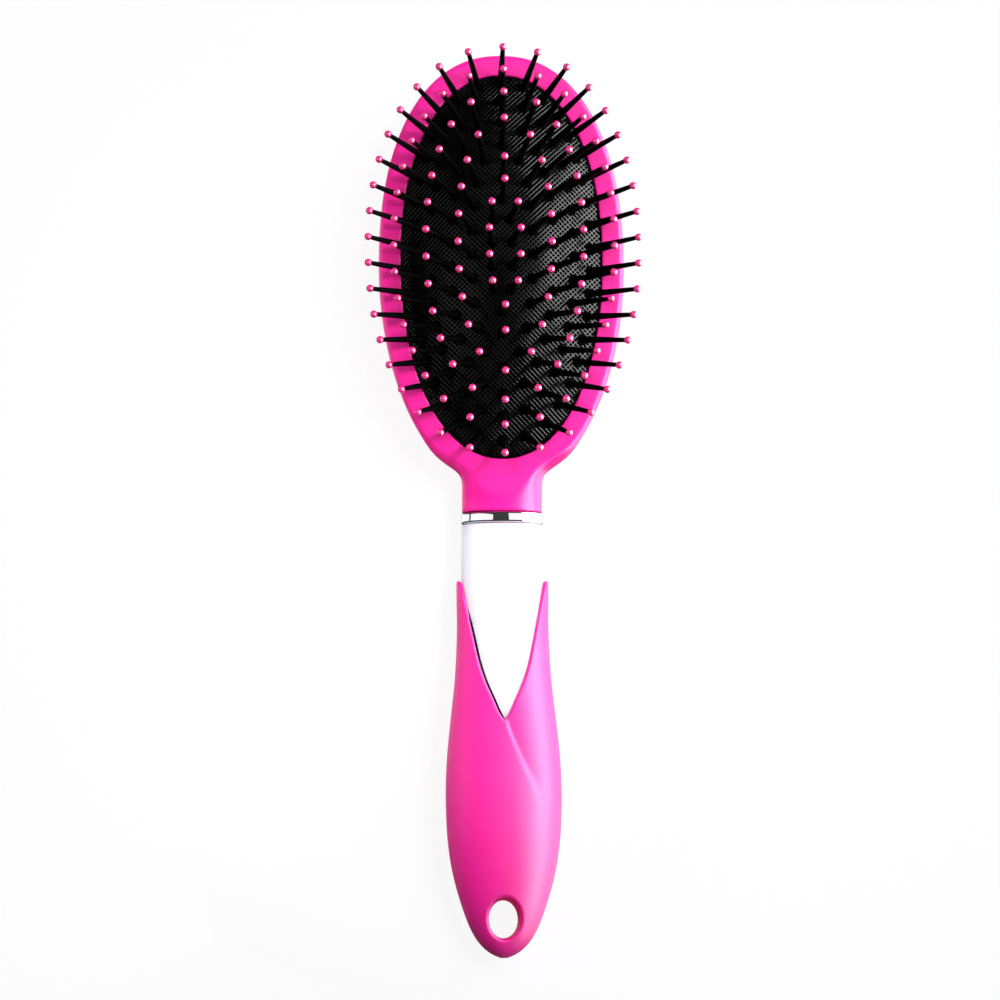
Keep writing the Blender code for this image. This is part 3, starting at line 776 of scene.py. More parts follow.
# The opening's wall, groove and well: how far each row is drawn in, and its level
WELL_ROWS = (
    (-0.00050, RIM_LEVEL),
    (-0.00022, RIM_LEVEL - 0.00003),
    (-0.00010, RIM_LEVEL - 0.00010),
    (-0.00003, RIM_LEVEL - 0.00022),
    (0.0, RIM_LEVEL - 0.00044),
    (0.0, GROOVE_TOP),
    (-GROOVE_DEPTH, GROOVE_TOP),
    (-GROOVE_DEPTH, GROOVE_BOTTOM),
    (0.0008, GROOVE_BOTTOM),
    (0.0009, 0.0090),
    (0.0017, 0.0064),
    (0.0037, 0.0043),
    (0.0066, WELL_FLOOR),
    (0.0140, WELL_FLOOR),
    (0.0267, WELL_FLOOR),
)
well_rows = []
for inset, level in WELL_ROWS:
    loop = half_egg(OPENING_EGG, OPENING_CENTRE_Y, -inset)
    x = np.interp(on_rim[corner:], rim_walked, loop[:, 0])
    y = np.interp(on_rim[corner:], rim_walked, loop[:, 1])
    x[0] = x[-1] = 0.0
    well_rows.append(at_level(np.stack((x, y), axis=1), level))
well_rows[0] = half_shell[-1, corner:]
well_rows.append(well_rows[-1] * (0.0, 1.0, 1.0))
print("Grids of the right half:", half_shell.shape, np.shape(well_rows))

# %% [markdown]
# ## Head: one closed shell
# Both grids of the right half are laid out and mirrored, welded along the edges that they share
# and closed at the neck's end. The last line counts the edges still open.

# %% Join the rows into one closed shell
SLIVER_AREA = 1e-13


def half_sheet(shape, grid, side):
    """Adds a grid of points and its faces to a bmesh, on the right (1) or mirrored (-1)."""
    rows, columns, _ = grid.shape
    verts = [[shape.verts.new((side * x, y, z)) for x, y, z in row] for row in grid]
    for row in range(rows - 1):
        for column in range(columns - 1):
            corners = (
                verts[row][column],
                verts[row][column + 1],
                verts[row + 1][column + 1],
                verts[row + 1][column],
            )
            shape.faces.new(corners)


shell = bmesh.new()
for side in (1.0, -1.0):
    half_sheet(shell, half_shell, side)
    half_sheet(shell, np.array(well_rows), side)
bmesh.ops.remove_doubles(shell, verts=shell.verts, dist=WELD)
slivers = [face for face in shell.faces if face.calc_area() < SLIVER_AREA]
bmesh.ops.delete(shell, geom=slivers, context="FACES_ONLY")
neck_opening = [line for line in shell.edges if line.is_boundary]
bmesh.ops.holes_fill(shell, edges=neck_opening, sides=0)
head_mesh = bpy.data.meshes.new("head_without_tang")
shell.to_mesh(head_mesh)
open_edges = sum(1 for line in shell.edges if not line.is_manifold)
shell.free()
print("Head shell:", len(head_mesh.polygons), "faces,", open_edges, "edges not closed")

# %% [markdown]
# ## Head: the tang
# Behind the seam the moulding goes on as a flat tang that plugs through the ring into the
# handle. It can't be seen on the finished brush, but it carries the head, so it is there: a
# short closed bar that starts inside the neck.

# %% Add the tang and place the head
TANG_SECTION = (0.0056, 0.0036, 0.0036, 4.0, 4.0)
TANG_LEVEL = 0.00789
TANG_IN_NECK = 0.008
TANG_LENGTH = 0.0320
TANG_EASE = 0.0005
TANG_POINTS = 48


def bar_ring(section, y, level, growth=0.0, count=TANG_POINTS):
    """A rounded section square to the brush's length."""
    ring = egg(section, count, growth)
    return np.stack((ring[:, 0], np.full(count, y), ring[:, 1] + level), axis=1)


def merged(name, *meshes):
    """One mesh that holds several, each with its own shading kept."""
    shape = bmesh.new()
    for mesh in meshes:
        shape.from_mesh(mesh)
    mesh = bpy.data.meshes.new(name)
    shape.to_mesh(mesh)
    shape.free()
    return mesh


tang = skin("tang", [
    bar_ring(TANG_SECTION, SEAM_Y + TANG_IN_NECK, TANG_LEVEL),
    bar_ring(TANG_SECTION, SEAM_Y - TANG_LENGTH + TANG_EASE, TANG_LEVEL),
    bar_ring(TANG_SECTION, SEAM_Y - TANG_LENGTH, TANG_LEVEL, -TANG_EASE),
])
head_mesh = tidy(merged("head_shell", head_mesh, tang))
dress("head_shell", head_mesh, head_pink, "brush_body", "head_pink", "head_body")
print("Head reaches from y", round(SEAM_Y - TANG_LENGTH, 4), "to", round(float(edge_y[-1]), 4))

# %% [markdown]
# ## Cushion: the rubber sheet
# The cushion is a thin domed sheet of rubber that bulges out of the opening, with a flange in
# the head's groove. The dome follows the opening's egg shape, so a point's height depends only
# on its share of the way to the edge. It is an arc that flattens a little near its edge, where
# the rubber turns towards the rim. Rings of such points make the sheet, outside and inside.

# %% Build the sheet
PAD_POINTS = 144
DOME_RINGS = 34
DOME_FIRST_ANGLE = 0.03
FLANGE_INNER_REACH = 0.0011
BORDER_SHARE = 0.90
BORDER_LIFT = 0.0010


def dome_share(x, y):
    """Nought in the middle of the cushion, one on its edge. Places are from its centre."""
    half_width, top, foot, power, _ = PAD_EGG
    reach = np.where(y > 0, top, foot)
    return (np.abs(x / half_width) ** power + np.abs(y / reach) ** power) ** (1 / power)


def dome_level(x, y):
    """Height of the cushion's face there."""
    share = np.minimum(dome_share(x, y), 1.0)
    arc = np.sqrt(DOME_RADIUS**2 - (share * PAD_EGG[0]) ** 2) - (DOME_RADIUS - PAD_DOME_RISE)
    border = np.maximum(share - BORDER_SHARE, 0.0) / (1 - BORDER_SHARE)
    return PAD_SEAT + arc + BORDER_LIFT * border**2


def on_head(plan, level):
    """Points about the opening's centre, moved to their place in the head, at a level."""
    return at_level(plan + (0.0, OPENING_CENTRE_Y), level)


def on_dome(plan, drop=0.0):
    """Points about the opening's centre, laid on the dome and lowered by a drop."""
    return on_head(plan, dome_level(plan[:, 0], plan[:, 1]) - drop)


def groove_ring(growth, level):
    """A ring parallel to the opening's edge, at a level."""
    return on_head(egg(OPENING_EGG, PAD_POINTS, growth), level)


pad_edge = egg(PAD_EGG, PAD_POINTS)
dome_steps = np.sin(np.linspace(DOME_FIRST_ANGLE, math.pi / 2, DOME_RINGS))
flange_top = GROOVE_TOP - FIT_GAP
flange_bottom = GROOVE_BOTTOM + FIT_GAP
rings = [on_dome(pad_edge * step) for step in dome_steps]
rings.append(groove_ring(-FIT_GAP, flange_top))
rings.append(groove_ring(GROOVE_DEPTH - FIT_GAP, flange_top))
rings.append(groove_ring(GROOVE_DEPTH - FIT_GAP, flange_bottom))
rings.append(groove_ring(-FLANGE_INNER_REACH, flange_bottom))
# The inside, which nobody sees, needs only every third ring
rings += [on_dome(pad_edge * step, PAD_SKIN) for step in dome_steps[-4::-3]]
sheet_mesh = tidy(skin("cushion", rings), crease=math.radians(50))
print("Cushion sheet:", len(sheet_mesh.polygons), "faces")

# %% [markdown]
# ## Cushion: the pins' places
# The pins stand in five oval rings that shrink towards the middle, and they fan out: the
# further out a pin stands, the more it leans. Each ring is an egg with its own shares of the
# opening, walked in even steps. The places are needed twice, for the pins and for the small
# rubber bosses that they rise from.

# %% Work out every pin's place and lean
# Count of the ring, and its half width and two reaches as shares of the opening's
PIN_RINGS = (
    (38, 0.875, 0.958, 0.912),
    (32, 0.710, 0.840, 0.795),
    (26, 0.505, 0.721, 0.692),
    (20, 0.300, 0.586, 0.570),
    (10, 0.102, 0.282, 0.291),
)
END_PIN_SHARES = (0.392, 0.400)
END_PINS = (
    (0.0, OPENING_EGG[1] * END_PIN_SHARES[0]),
    (0.0, -OPENING_EGG[2] * END_PIN_SHARES[1]),
)
# A pin's lean is its place over these, across and along the brush
FAN_ACROSS = 0.035
FAN_ALONG = 0.155
OVAL_STEPS = 720


def ring_egg(number):
    """The egg that a ring of pins stands on."""
    _, across, top, foot = PIN_RINGS[number]
    half_width, reach_top, reach_foot, power, _ = OPENING_EGG
    return (half_width * across, reach_top * top, reach_foot * foot, power, power)


def even_steps(ring, count):
    """Places at even steps along a closed ring, the first one at its start."""
    loop = np.concatenate((ring, ring[:1]))
    gone = walk(loop)
    goals = gone[-1] * np.arange(count) / count
    return np.stack([np.interp(goals, gone, loop[:, axis]) for axis in (0, 1)], axis=1)


def pin_places(number):
    """Feet of one ring's pins, measured from the cushion's centre."""
    places = even_steps(egg(ring_egg(number), OVAL_STEPS), PIN_RINGS[number][0])
    if number == len(PIN_RINGS) - 1:
        places = np.concatenate((places, END_PINS))
    return places


def pin_feet_and_leans(number):
    """Where the pins leave the rubber, and the way that each one points."""
    places = pin_places(number)
    lean = places / (FAN_ACROSS, FAN_ALONG)
    upright = np.sqrt(1 - lean[:, 0] ** 2 - lean[:, 1] ** 2)
    return on_dome(places), at_level(lean, upright)


print("Pins:", sum(len(pin_places(number)) for number in range(len(PIN_RINGS))))

# %% [markdown]
# ## A helper for Geometry Nodes
# The cushion's cross grain and the pins repeat one small form many times, which is what
# Geometry Nodes are for. Each tree gets named inputs, and the modifier's values are set by the
# socket's identifier. The tree ends in Realize Instances and Set Material, and the result is
# turned into a plain mesh, because instances would be lost in the export.

# %% Helpers for Geometry Nodes
class Tree:
    """A Geometry Nodes tree with named inputs that is worked into a plain mesh."""

    def __init__(self, name, inputs):
        self.group = bpy.data.node_groups.new(name, "GeometryNodeTree")
        face = self.group.interface
        face.new_socket("Geometry", in_out="INPUT", socket_type="NodeSocketGeometry")
        self.named = {}
        for label, kind, value in inputs:
            socket = face.new_socket(label, in_out="INPUT", socket_type=kind)
            if value is not None:
                socket.default_value = value
            self.named[label] = socket.identifier
        face.new_socket("Geometry", in_out="OUTPUT", socket_type="NodeSocketGeometry")
        self.start = self.add("NodeGroupInput")
        self.end = self.add("NodeGroupOutput")

    def add(self, kind, sockets=None, **settings):
        """A node of a kind, with its settings and the values of its own sockets."""
        return add_node(self.group, kind, sockets, **settings)

    def close(self, last, output, material):
        """Ends the tree after its last node: instances made real, and the material set."""
        real = self.add("GeometryNodeRealizeInstances")
        paint = self.add("GeometryNodeSetMaterial", {"Material": material})
        wire(
            self.group,
            (last, output, real, "Geometry"),
            (real, "Geometry", paint, "Geometry"),
            (paint, "Geometry", self.end, "Geometry"),
        )

    def work(self, mesh, **values):
        """The plain mesh that the tree makes of a mesh, with these values for its inputs."""
        host = link("host", mesh)
        modifier = host.modifiers.new("tree", "NODES")
        modifier.node_group = self.group
        for label, value in values.items():
            modifier[self.named[label.replace("_", " ")]] = value
        bpy.context.view_layer.update()
        return final_mesh(host)


def point_cloud_mesh(name, places, **vectors):
    """A mesh of loose points with vector attributes on them."""
    mesh = bpy.data.meshes.new(name)
    mesh.from_pydata([tuple(place) for place in places], [], [])
    for label, values in vectors.items():
        attribute = mesh.attributes.new(label, "FLOAT_VECTOR", "POINT")
        attribute.data.foreach_set("vector", np.asarray(values, np.float32).ravel())
    return mesh


print("Trees so far:", len(bpy.data.node_groups))

# %% [markdown]
# ## Cushion: the cross grain
# The rubber's face is covered by a fine raised cross grain at 45 degrees, which catches the
# light as rows of tiny glints. A bump map would go flat from the side, so each ridge is a thin
# wire. It starts as a straight line over the opening, cut to the dome's outline.

# %% Lay the grain's lines over the opening
GRAIN_PITCH = 0.00094
GRAIN_STEP = 0.0012
GRAIN_EDGE_SHARE = 0.999
GRAIN_REACH = 0.060
GRAIN_START_LEVEL = 0.05


def grain_lines():
    """Ridge lines at 45 degrees both ways, cut to the dome's outline, as a mesh of edges."""
    points, edges = [], []
    count = int(2 * GRAIN_REACH / GRAIN_PITCH)
    steps = np.arange(-GRAIN_REACH, GRAIN_REACH, GRAIN_STEP)
    for slant in (1.0, -1.0):
        along = np.array((1.0, slant)) * math.sqrt(0.5)
        across = np.array((-slant, 1.0)) * math.sqrt(0.5)
        for line in range(count):
            offset = (line - count / 2 + 0.5) * GRAIN_PITCH
            places = across * offset + steps[:, None] * along
            inside = dome_share(places[:, 0], places[:, 1]) < GRAIN_EDGE_SHARE
            kept = places[inside]
            first = len(points)
            points += on_head(kept, GRAIN_START_LEVEL).tolist()
            edges += [(first + step, first + step + 1) for step in range(len(kept) - 1)]
    mesh = bpy.data.meshes.new("grain_lines")
    mesh.from_pydata(points, edges, [])
    return mesh


lines_mesh = grain_lines()
print("Grain lines:", len(lines_mesh.edges), "edges")

# %% [markdown]
# ## Cushion: the grain's ridges
# Raycast drops the lines on the dome, and a low four-sided profile is swept along them. The
# flat flanks glint only where the dome turns them to the light, so the right side sparkles and
# the left stays black.

# %% Grow the cross grain on the dome
GRAIN_RADIUS = 0.00015
GRAIN_FLATNESS = (1.0, 0.21, 1.0)
GRAIN_LONGEST_DROP = 0.1

dome_target = link("dome_target", sheet_mesh.copy())
grain_tree = Tree("cross grain", (
    ("Dome", "NodeSocketObject", None),
    ("Ridge Radius", "NodeSocketFloat", GRAIN_RADIUS),
    ("Drop", "NodeSocketFloat", GRAIN_LONGEST_DROP),
))
given = grain_tree.start
dome = grain_tree.add("GeometryNodeObjectInfo")
ray = grain_tree.add("GeometryNodeRaycast", {"Ray Direction": (0.0, 0.0, -1.0)})
lay = grain_tree.add("GeometryNodeSetPosition")
curves = grain_tree.add("GeometryNodeMeshToCurve")
upright = grain_tree.add("GeometryNodeSetCurveNormal", mode="Z_UP")
profile = grain_tree.add("GeometryNodeCurvePrimitiveCircle", {"Resolution": 4}, mode="RADIUS")
flat_profile = grain_tree.add("GeometryNodeTransform", {"Scale": GRAIN_FLATNESS})
sweep = grain_tree.add("GeometryNodeCurveToMesh", {"Fill Caps": True})
facets = grain_tree.add("GeometryNodeSetShadeSmooth", {"Shade Smooth": False})
wire(
    grain_tree.group,
    (given, "Dome", dome, "Object"),
    (dome, "Geometry", ray, "Target Geometry"),
    (given, "Drop", ray, "Ray Length"),
    (given, "Geometry", lay, "Geometry"),
    (ray, "Hit Position", lay, "Position"),
    (lay, "Geometry", curves, "Mesh"),
    (curves, "Curve", upright, "Curve"),
    (given, "Ridge Radius", profile, "Radius"),
    (upright, "Curve", sweep, "Curve"),
    (profile, "Curve", flat_profile, "Geometry"),
    (flat_profile, "Geometry", sweep, "Profile Curve"),
    (sweep, "Mesh", facets, "Geometry"),
)
grain_tree.close(facets, "Geometry", crest_black)
grain_mesh = grain_tree.work(lines_mesh, Dome=dome_target)
bpy.data.objects.remove(dome_target, do_unlink=True)
print("Cross grain:", len(grain_mesh.polygons), "faces")

# %% [markdown]
# ## Cushion: the bosses
# Round each pin the rubber swells to a small smooth boss without grain. One low turned form is
# set on every foot, square to the pin. The sheet with its bosses is one piece and the grain
# another, each with a mesh of its own.

# %% Set the bosses and place the cushion
BOSS_PROFILE = ((0.0016, -0.0008), (0.00158, 0.0001), (0.0014, 0.00032), (0.0011, 0.00042))
BOSS_SIDES = 14


def turned_form(name, profile, sides):
    """A closed form turned about Z from a profile of radii and heights."""
    angle = math.tau * np.arange(sides) / sides
    circle = np.stack((np.cos(angle), np.sin(angle)), axis=1)
    rings = [at_level(radius * circle, height) for radius, height in profile]
    return tidy(skin(name, rings), crease=math.radians(60))


standing_tree = Tree("stand on points", (("Form", "NodeSocketObject", None),))
form = standing_tree.add("GeometryNodeObjectInfo", {"As Instance": True})
lean = standing_tree.add(
    "GeometryNodeInputNamedAttribute", {"Name": "lean"}, data_type="FLOAT_VECTOR"
)
turn = standing_tree.add("FunctionNodeAlignRotationToVector", axis="Z")
stand = standing_tree.add("GeometryNodeInstanceOnPoints")
wire(
    standing_tree.group,
    (standing_tree.start, "Form", form, "Object"),
    (lean, "Attribute", turn, "Vector"),
    (standing_tree.start, "Geometry", stand, "Points"),
    (form, "Geometry", stand, "Instance"),
    (turn, "Rotation", stand, "Rotation"),
)
standing_tree.close(stand, "Instances", pad_black)


def stand_on(name, form_mesh, feet, leans):
    """One mesh with a copy of a form on each foot, turned to its lean."""
    pattern = link("pattern", form_mesh)
    mesh = standing_tree.work(point_cloud_mesh(name, feet, lean=leans), Form=pattern)
    bpy.data.objects.remove(pattern, do_unlink=True)
    return mesh


all_feet, all_leans = zip(*(pin_feet_and_leans(number) for number in range(len(PIN_RINGS))))
bosses = stand_on(
    "bosses",
    turned_form("boss", BOSS_PROFILE, BOSS_SIDES),
    np.concatenate(all_feet),
    np.concatenate(all_leans),
)
cushion = dress(
    "cushion", merged("cushion", sheet_mesh, bosses), pad_black, "brush_body", "pad_black",
    "cushion_pad",
)
grain = dress("cushion_grain", grain_mesh, crest_black, "brush_body", "pad_black")
for piece in (cushion, grain):
    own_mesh(piece)
print("Bosses:", len(bosses.polygons), "faces")

# %% [markdown]
# ## Pins: what ties their feet together
# Each ring of pins moves by itself as the cushion gives. A thin oval runner behind the rubber
# ties the feet of one ring together, and the few pins of the middle stand on a small plate.
# Both follow the inside of the dome.

# %% Shape the runners and the plate
RUNNER_HALF_WIDTH = 0.0011
RUNNER_THICKNESS = 0.0014
RUNNER_EXTRA_DROP = 0.0002
RUNNER_POINTS = 96
PLATE_SHARES = (0.3, 0.66, 1.0)


def runner_mesh(number):
    """What ties the feet of a ring's pins together: an oval band behind the cushion's sheet."""
    shape = ring_egg(number)
    outer = egg(shape, RUNNER_POINTS, RUNNER_HALF_WIDTH)
    inner = egg(shape, RUNNER_POINTS, -RUNNER_HALF_WIDTH)
    high = PAD_SKIN + FIT_GAP + RUNNER_EXTRA_DROP
    low = PAD_SKIN + FIT_GAP + RUNNER_THICKNESS + RUNNER_EXTRA_DROP
    rings = [on_dome(outer, high), on_dome(inner, high), on_dome(inner, low), on_dome(outer, low)]
    return tidy(skin("runner", rings, loop=True))


def plate_mesh(number):
    """What ties the feet of the middle pins together: an oval plate behind the sheet."""
    across, _, _, power, _ = ring_egg(number)
    shape = (across, END_PINS[0][1], -END_PINS[1][1], power, power)
    plate = egg(shape, RUNNER_POINTS, RUNNER_HALF_WIDTH)
    high = PAD_SKIN + FIT_GAP
    low = PAD_SKIN + FIT_GAP + RUNNER_THICKNESS
    rings = [on_dome(plate * share, high) for share in PLATE_SHARES]
    rings += [on_dome(plate * share, low) for share in PLATE_SHARES[::-1]]
    return tidy(skin("plate", rings))


ties = [runner_mesh(number) for number in range(len(PIN_RINGS) - 1)]
ties.append(plate_mesh(len(PIN_RINGS) - 1))
print("Faces of the runners and the plate:", [len(tie.polygons) for tie in ties])

# %% [markdown]
# ## Pins: shafts and balls
# A pin is a tapered nylon shaft with a ball dipped in pink on its tip. Both are turned forms
# of a few dozen faces, since there are 128 of them. Each ring of pins has two pieces of its
# own: the shafts with what ties them together, and the balls.

# %% Make the pins, ring by ring
PIN_REACH = 0.018
BALL_RADIUS = 0.0010
SHAFT_PROFILE = (
    (0.00095, -0.0024),
    (0.00094, 0.0),
    (0.00088, 0.0050),
    (0.00066, 0.0140),
    (0.00057, 0.0176),
)
SHAFT_SIDES = 12
BALL_SIDES = 12
BALL_FIRST_ANGLE = -1.30
BALL_LAST_ANGLE = math.pi / 2 - 0.10
BALL_RINGS = 8
PIN_BODIES = ("pins_outer", "pins_second", "pins_third", "pins_fourth", "pins_middle")

ball_profile = [
    (BALL_RADIUS * math.cos(angle), PIN_REACH + BALL_RADIUS * math.sin(angle))
    for angle in np.linspace(BALL_FIRST_ANGLE, BALL_LAST_ANGLE, BALL_RINGS)
]
for number, (body, tie) in enumerate(zip(PIN_BODIES, ties)):
    feet, leans = pin_feet_and_leans(number)
    shafts = stand_on("shafts", turned_form("shaft", SHAFT_PROFILE, SHAFT_SIDES), feet, leans)
    balls = stand_on("balls", turned_form("ball", ball_profile, BALL_SIDES), feet, leans)
    dress(
        f"pin_shafts_{number + 1}", merged("shafts", shafts, tie), pin_black, body, "pin_black",
        f"pin_ring_{number + 1}",
    )
    dress(f"pin_balls_{number + 1}", balls, ball_pink, body, "pin_ball_pink")

# %% [markdown]
# ## The handle's sections
# Ring, core and grip all follow the handle's own sections, which come from the table of shares
# above. The grip lies on them. The ring and the core are drawn in by the grip's wall, and both
# are bored for the tang.

# %% Helpers for the handle's sections
RING_POINTS = 160


def handle_span(distance, inset=0.0):
    """The handle's half width, bottom and top at a distance from the seam, drawn in."""
    share = distance / HANDLE_LENGTH
    half_width = HANDLE_HALF_WIDTH * follow(HANDLE_SHARES, share, 1) - inset
    bottom = HANDLE_DEPTH * follow(HANDLE_SHARES, share, 2) + inset
    top = HANDLE_DEPTH * follow(HANDLE_SHARES, share, 3) - inset
    return half_width, bottom, top


def handle_ring(distance, inset):
    """The handle's section at a distance from the seam, drawn in by an inset."""
    half_width, bottom, top = handle_span(distance, inset)
    reach = (top - bottom) / 2
    section = (half_width, reach, reach, HANDLE_ROUNDNESS, HANDLE_ROUNDNESS)
    return bar_ring(section, SEAM_Y - distance, (top + bottom) / 2, 0.0, RING_POINTS)


def grip_wall_at(distance):
    """The grip's wall: thin at its tips, full from the neckline's point on."""
    run = NECKLINE_POINT_FROM_SEAM - GRIP_TIP_FROM_SEAM
    share = np.clip((distance - GRIP_TIP_FROM_SEAM) / run, 0.0, 1.0)
    return GRIP_WALL_AT_TIPS + (GRIP_WALL - GRIP_WALL_AT_TIPS) * share


def core_ring(distance, shrink=0.0):
    """The core's section, which the grip's wall and a fit gap keep inside the handle's."""
    return handle_ring(distance, grip_wall_at(distance) + FIT_GAP + shrink)


def pocket_ring(y):
    """The bore that takes the tang."""
    return bar_ring(TANG_SECTION, y, TANG_LEVEL, FIT_GAP, RING_POINTS)


print("Handle at the seam:", [round(float(value), 4) for value in handle_span(0.0)])

# %% [markdown]
# ## Bright ring and white collar
# The ring is a short band, a little proud of the neck, with eased edges. The collar is the
# bare front end of the white core that runs on inside the grip.

# %% Build the ring and the core
RING_LENGTH = 0.0028
RING_PROUD = 0.00015
COLLAR_START = 0.0042
CORE_RINGS = 56
# Way along the brush from an end, and how far the section is drawn in there
RING_EDGES = (
    (0.0, 0.00035),
    (0.00004, 0.00015),
    (0.00014, 0.0),
    (0.00032, -0.00012),
    (0.00055, -RING_PROUD),
)
CORE_EDGES = ((0.0, 0.00028), (0.00004, 0.00014), (0.00012, 0.00004), (0.00026, 0.0))

first, last = FIT_GAP, FIT_GAP + RING_LENGTH
ring_rows = [core_ring(first + step, shrink) for step, shrink in RING_EDGES]
ring_rows += [core_ring(last - step, shrink) for step, shrink in RING_EDGES[::-1]]
ring_rows.append(pocket_ring(SEAM_Y - last))
ring_rows.append(pocket_ring(SEAM_Y - first))
dress(
    "bright_ring", tidy(skin("bright_ring", ring_rows, loop=True)), ring_chrome, "brush_body",
    "ring_chrome", "chrome_ring",
)

core_start = RING_LENGTH + 2 * FIT_GAP
core_stations = np.linspace(COLLAR_START, CORE_END_FROM_SEAM, CORE_RINGS)
core_rows = [pocket_ring(SEAM_Y - TANG_LENGTH - FIT_GAP), pocket_ring(SEAM_Y - core_start)]
core_rows += [core_ring(core_start + step, shrink) for step, shrink in CORE_EDGES]
core_rows += [core_ring(distance) for distance in core_stations]
dress(
    "collar_core", tidy(skin("collar_core", core_rows)), core_white, "brush_body", "core_white",
    "handle_core",
)

# %% [markdown]
# ## Grip: the sleeve and its neckline
# The grip is a soft sleeve with a V neckline, cut so that two petals run up the sides. On the
# mesh the rows have to follow that neckline, or its edge would be ragged. So each column
# starts where it meets the neckline, found from how far round the side it lies, and all
# columns end together at the tip of the handle. The edge itself is a rolled lip.

# %% Lay out the grip's columns
GRIP_COLUMNS = 248
GRIP_ROWS = 176
LIP_ROWS = 9
# Share of the way from the middle to the side, and how far forward of the neckline's point the
# edge lies there, as a share of the petals' whole run
NECKLINE = (
    (0.000, 0.000),
    (0.060, 0.030),
    (0.124, 0.070),
    (0.215, 0.139),
    (0.409, 0.277),
    (0.560, 0.419),
    (0.667, 0.557),
    (0.767, 0.696),
    (0.852, 0.837),
    (0.954, 0.975),
    (1.000, 1.000),
)
petal_run = NECKLINE_POINT_FROM_SEAM - GRIP_TIP_FROM_SEAM
turn_at = math.tau * np.arange(GRIP_COLUMNS) / GRIP_COLUMNS
side_share = np.abs(np.sin(turn_at)) ** (2 / HANDLE_ROUNDNESS)
starts = NECKLINE_POINT_FROM_SEAM - petal_run * follow(NECKLINE, side_share)


def handle_points(distances, insets):
    """One point of the handle's surface for each column, at its own distance and inset."""
    half_width, bottom, top = handle_span(distances, insets)
    across = np.sin(turn_at)
    along = np.cos(turn_at)
    power = 2 / HANDLE_ROUNDNESS
    x = half_width * np.sign(across) * np.abs(across) ** power
    z = (top + bottom) / 2 + (top - bottom) / 2 * np.sign(along) * np.abs(along) ** power
    return np.stack((x, SEAM_Y - distances, z), axis=1)


# How steeply the edge runs across the columns, so that the lip keeps its width
edge_points = handle_points(starts, np.zeros(GRIP_COLUMNS))
beside = np.roll(edge_points, -1, axis=0) - np.roll(edge_points, 1, axis=0)
beside[:, 1] = 0.0
climb = np.abs(np.roll(starts, -1) - np.roll(starts, 1)) / np.linalg.norm(beside, axis=1)
neckline_points = (0, GRIP_COLUMNS // 2)
for column in neckline_points:
    climb[column] = climb[column - 1]
stretch = np.sqrt(1 + climb**2)
print("The lip is stretched up to", round(float(stretch.max()), 2), "times along the columns")

# %% [markdown]
# ## Grip: the fold
# Past the point of the V the left petal lies over the right one, as a wrapped leaf does. Its
# edge runs on as a soft raised step that fades out down the handle. The step is a lowering of
# the right side, strongest beside the fold and fading away from it, and it grows wider and
# weaker on the way down.

# %% Shape the fold
# The fold's path: x and distance from the seam
FOLD_PATH = np.array((
    (0.0000, 0.0558),
    (0.0011, 0.0592),
    (0.0031, 0.0641),
    (0.0050, 0.0685),
    (0.0065, 0.0720),
    (0.0080, 0.0764),
    (0.0097, 0.0823),
    (0.0107, 0.0884),
))
FOLD_STEP = 0.00100
FOLD_SPREAD = 0.0080
FOLD_WIDTH = 0.0009
FOLD_WIDENING = 0.0040
# How far down the fold it starts to widen and to fade
FOLD_WIDENS_FROM = 0.010
FOLD_FADES_FROM = 0.014


def fold_drop(points):
    """How far each point of the grip's front sinks beside the fold."""
    path = FOLD_PATH * (1.0, -1.0) + (0.0, SEAM_Y)
    run = path[1:] - path[:-1]
    length = np.linalg.norm(run, axis=1)
    flat = points[:, None, :2] - path[None, :-1]
    t = np.clip((flat * run).sum(axis=2) / length**2, 0.0, 1.0)
    away = flat - t[:, :, None] * run
    gaps = np.linalg.norm(away, axis=2)
    nearest = gaps.argmin(axis=1)
    pick = np.arange(len(points))
    gap = gaps[pick, nearest]
    side = run[nearest, 1] * away[pick, nearest, 0] - run[nearest, 0] * away[pick, nearest, 1]
    right = side < 0
    gone = walk(path)
    along = gone[nearest] + t[pick, nearest] * length[nearest]
    fading = 1 - smoothstep(FOLD_FADES_FROM, gone[-1], along)
    width = FOLD_WIDTH + FOLD_WIDENING * smoothstep(FOLD_WIDENS_FROM, gone[-1], along)
    shape = smoothstep(0.0, 1.0, gap / width) * np.exp(-gap / FOLD_SPREAD)
    return np.where(right, FOLD_STEP * fading * shape, 0.0)


print("The fold is", round(float(walk(FOLD_PATH)[-1]), 4), "long")

# %% [markdown]
# ## Grip: the sleeve's rows
# The rows start inside, turn round the rolled lip at the neckline and run down the outside to
# the tip. The petals stand out a little at their own tips. The fold lowers the front of the
# outside rows, and the inside rows leave room for the core.

# %% Build the sleeve
LIP_CLEARANCE = 0.00006
TIP_FLARE = 0.00035
FLARE_RUN = 0.011
ROW_EASE = 1.3
INSIDE_ROWS = 9


def flare(distances):
    """How far the petals stand out near their tips, beyond the handle's own curve."""
    return TIP_FLARE * (1 - smoothstep(0.0, FLARE_RUN, distances - GRIP_TIP_FROM_SEAM))


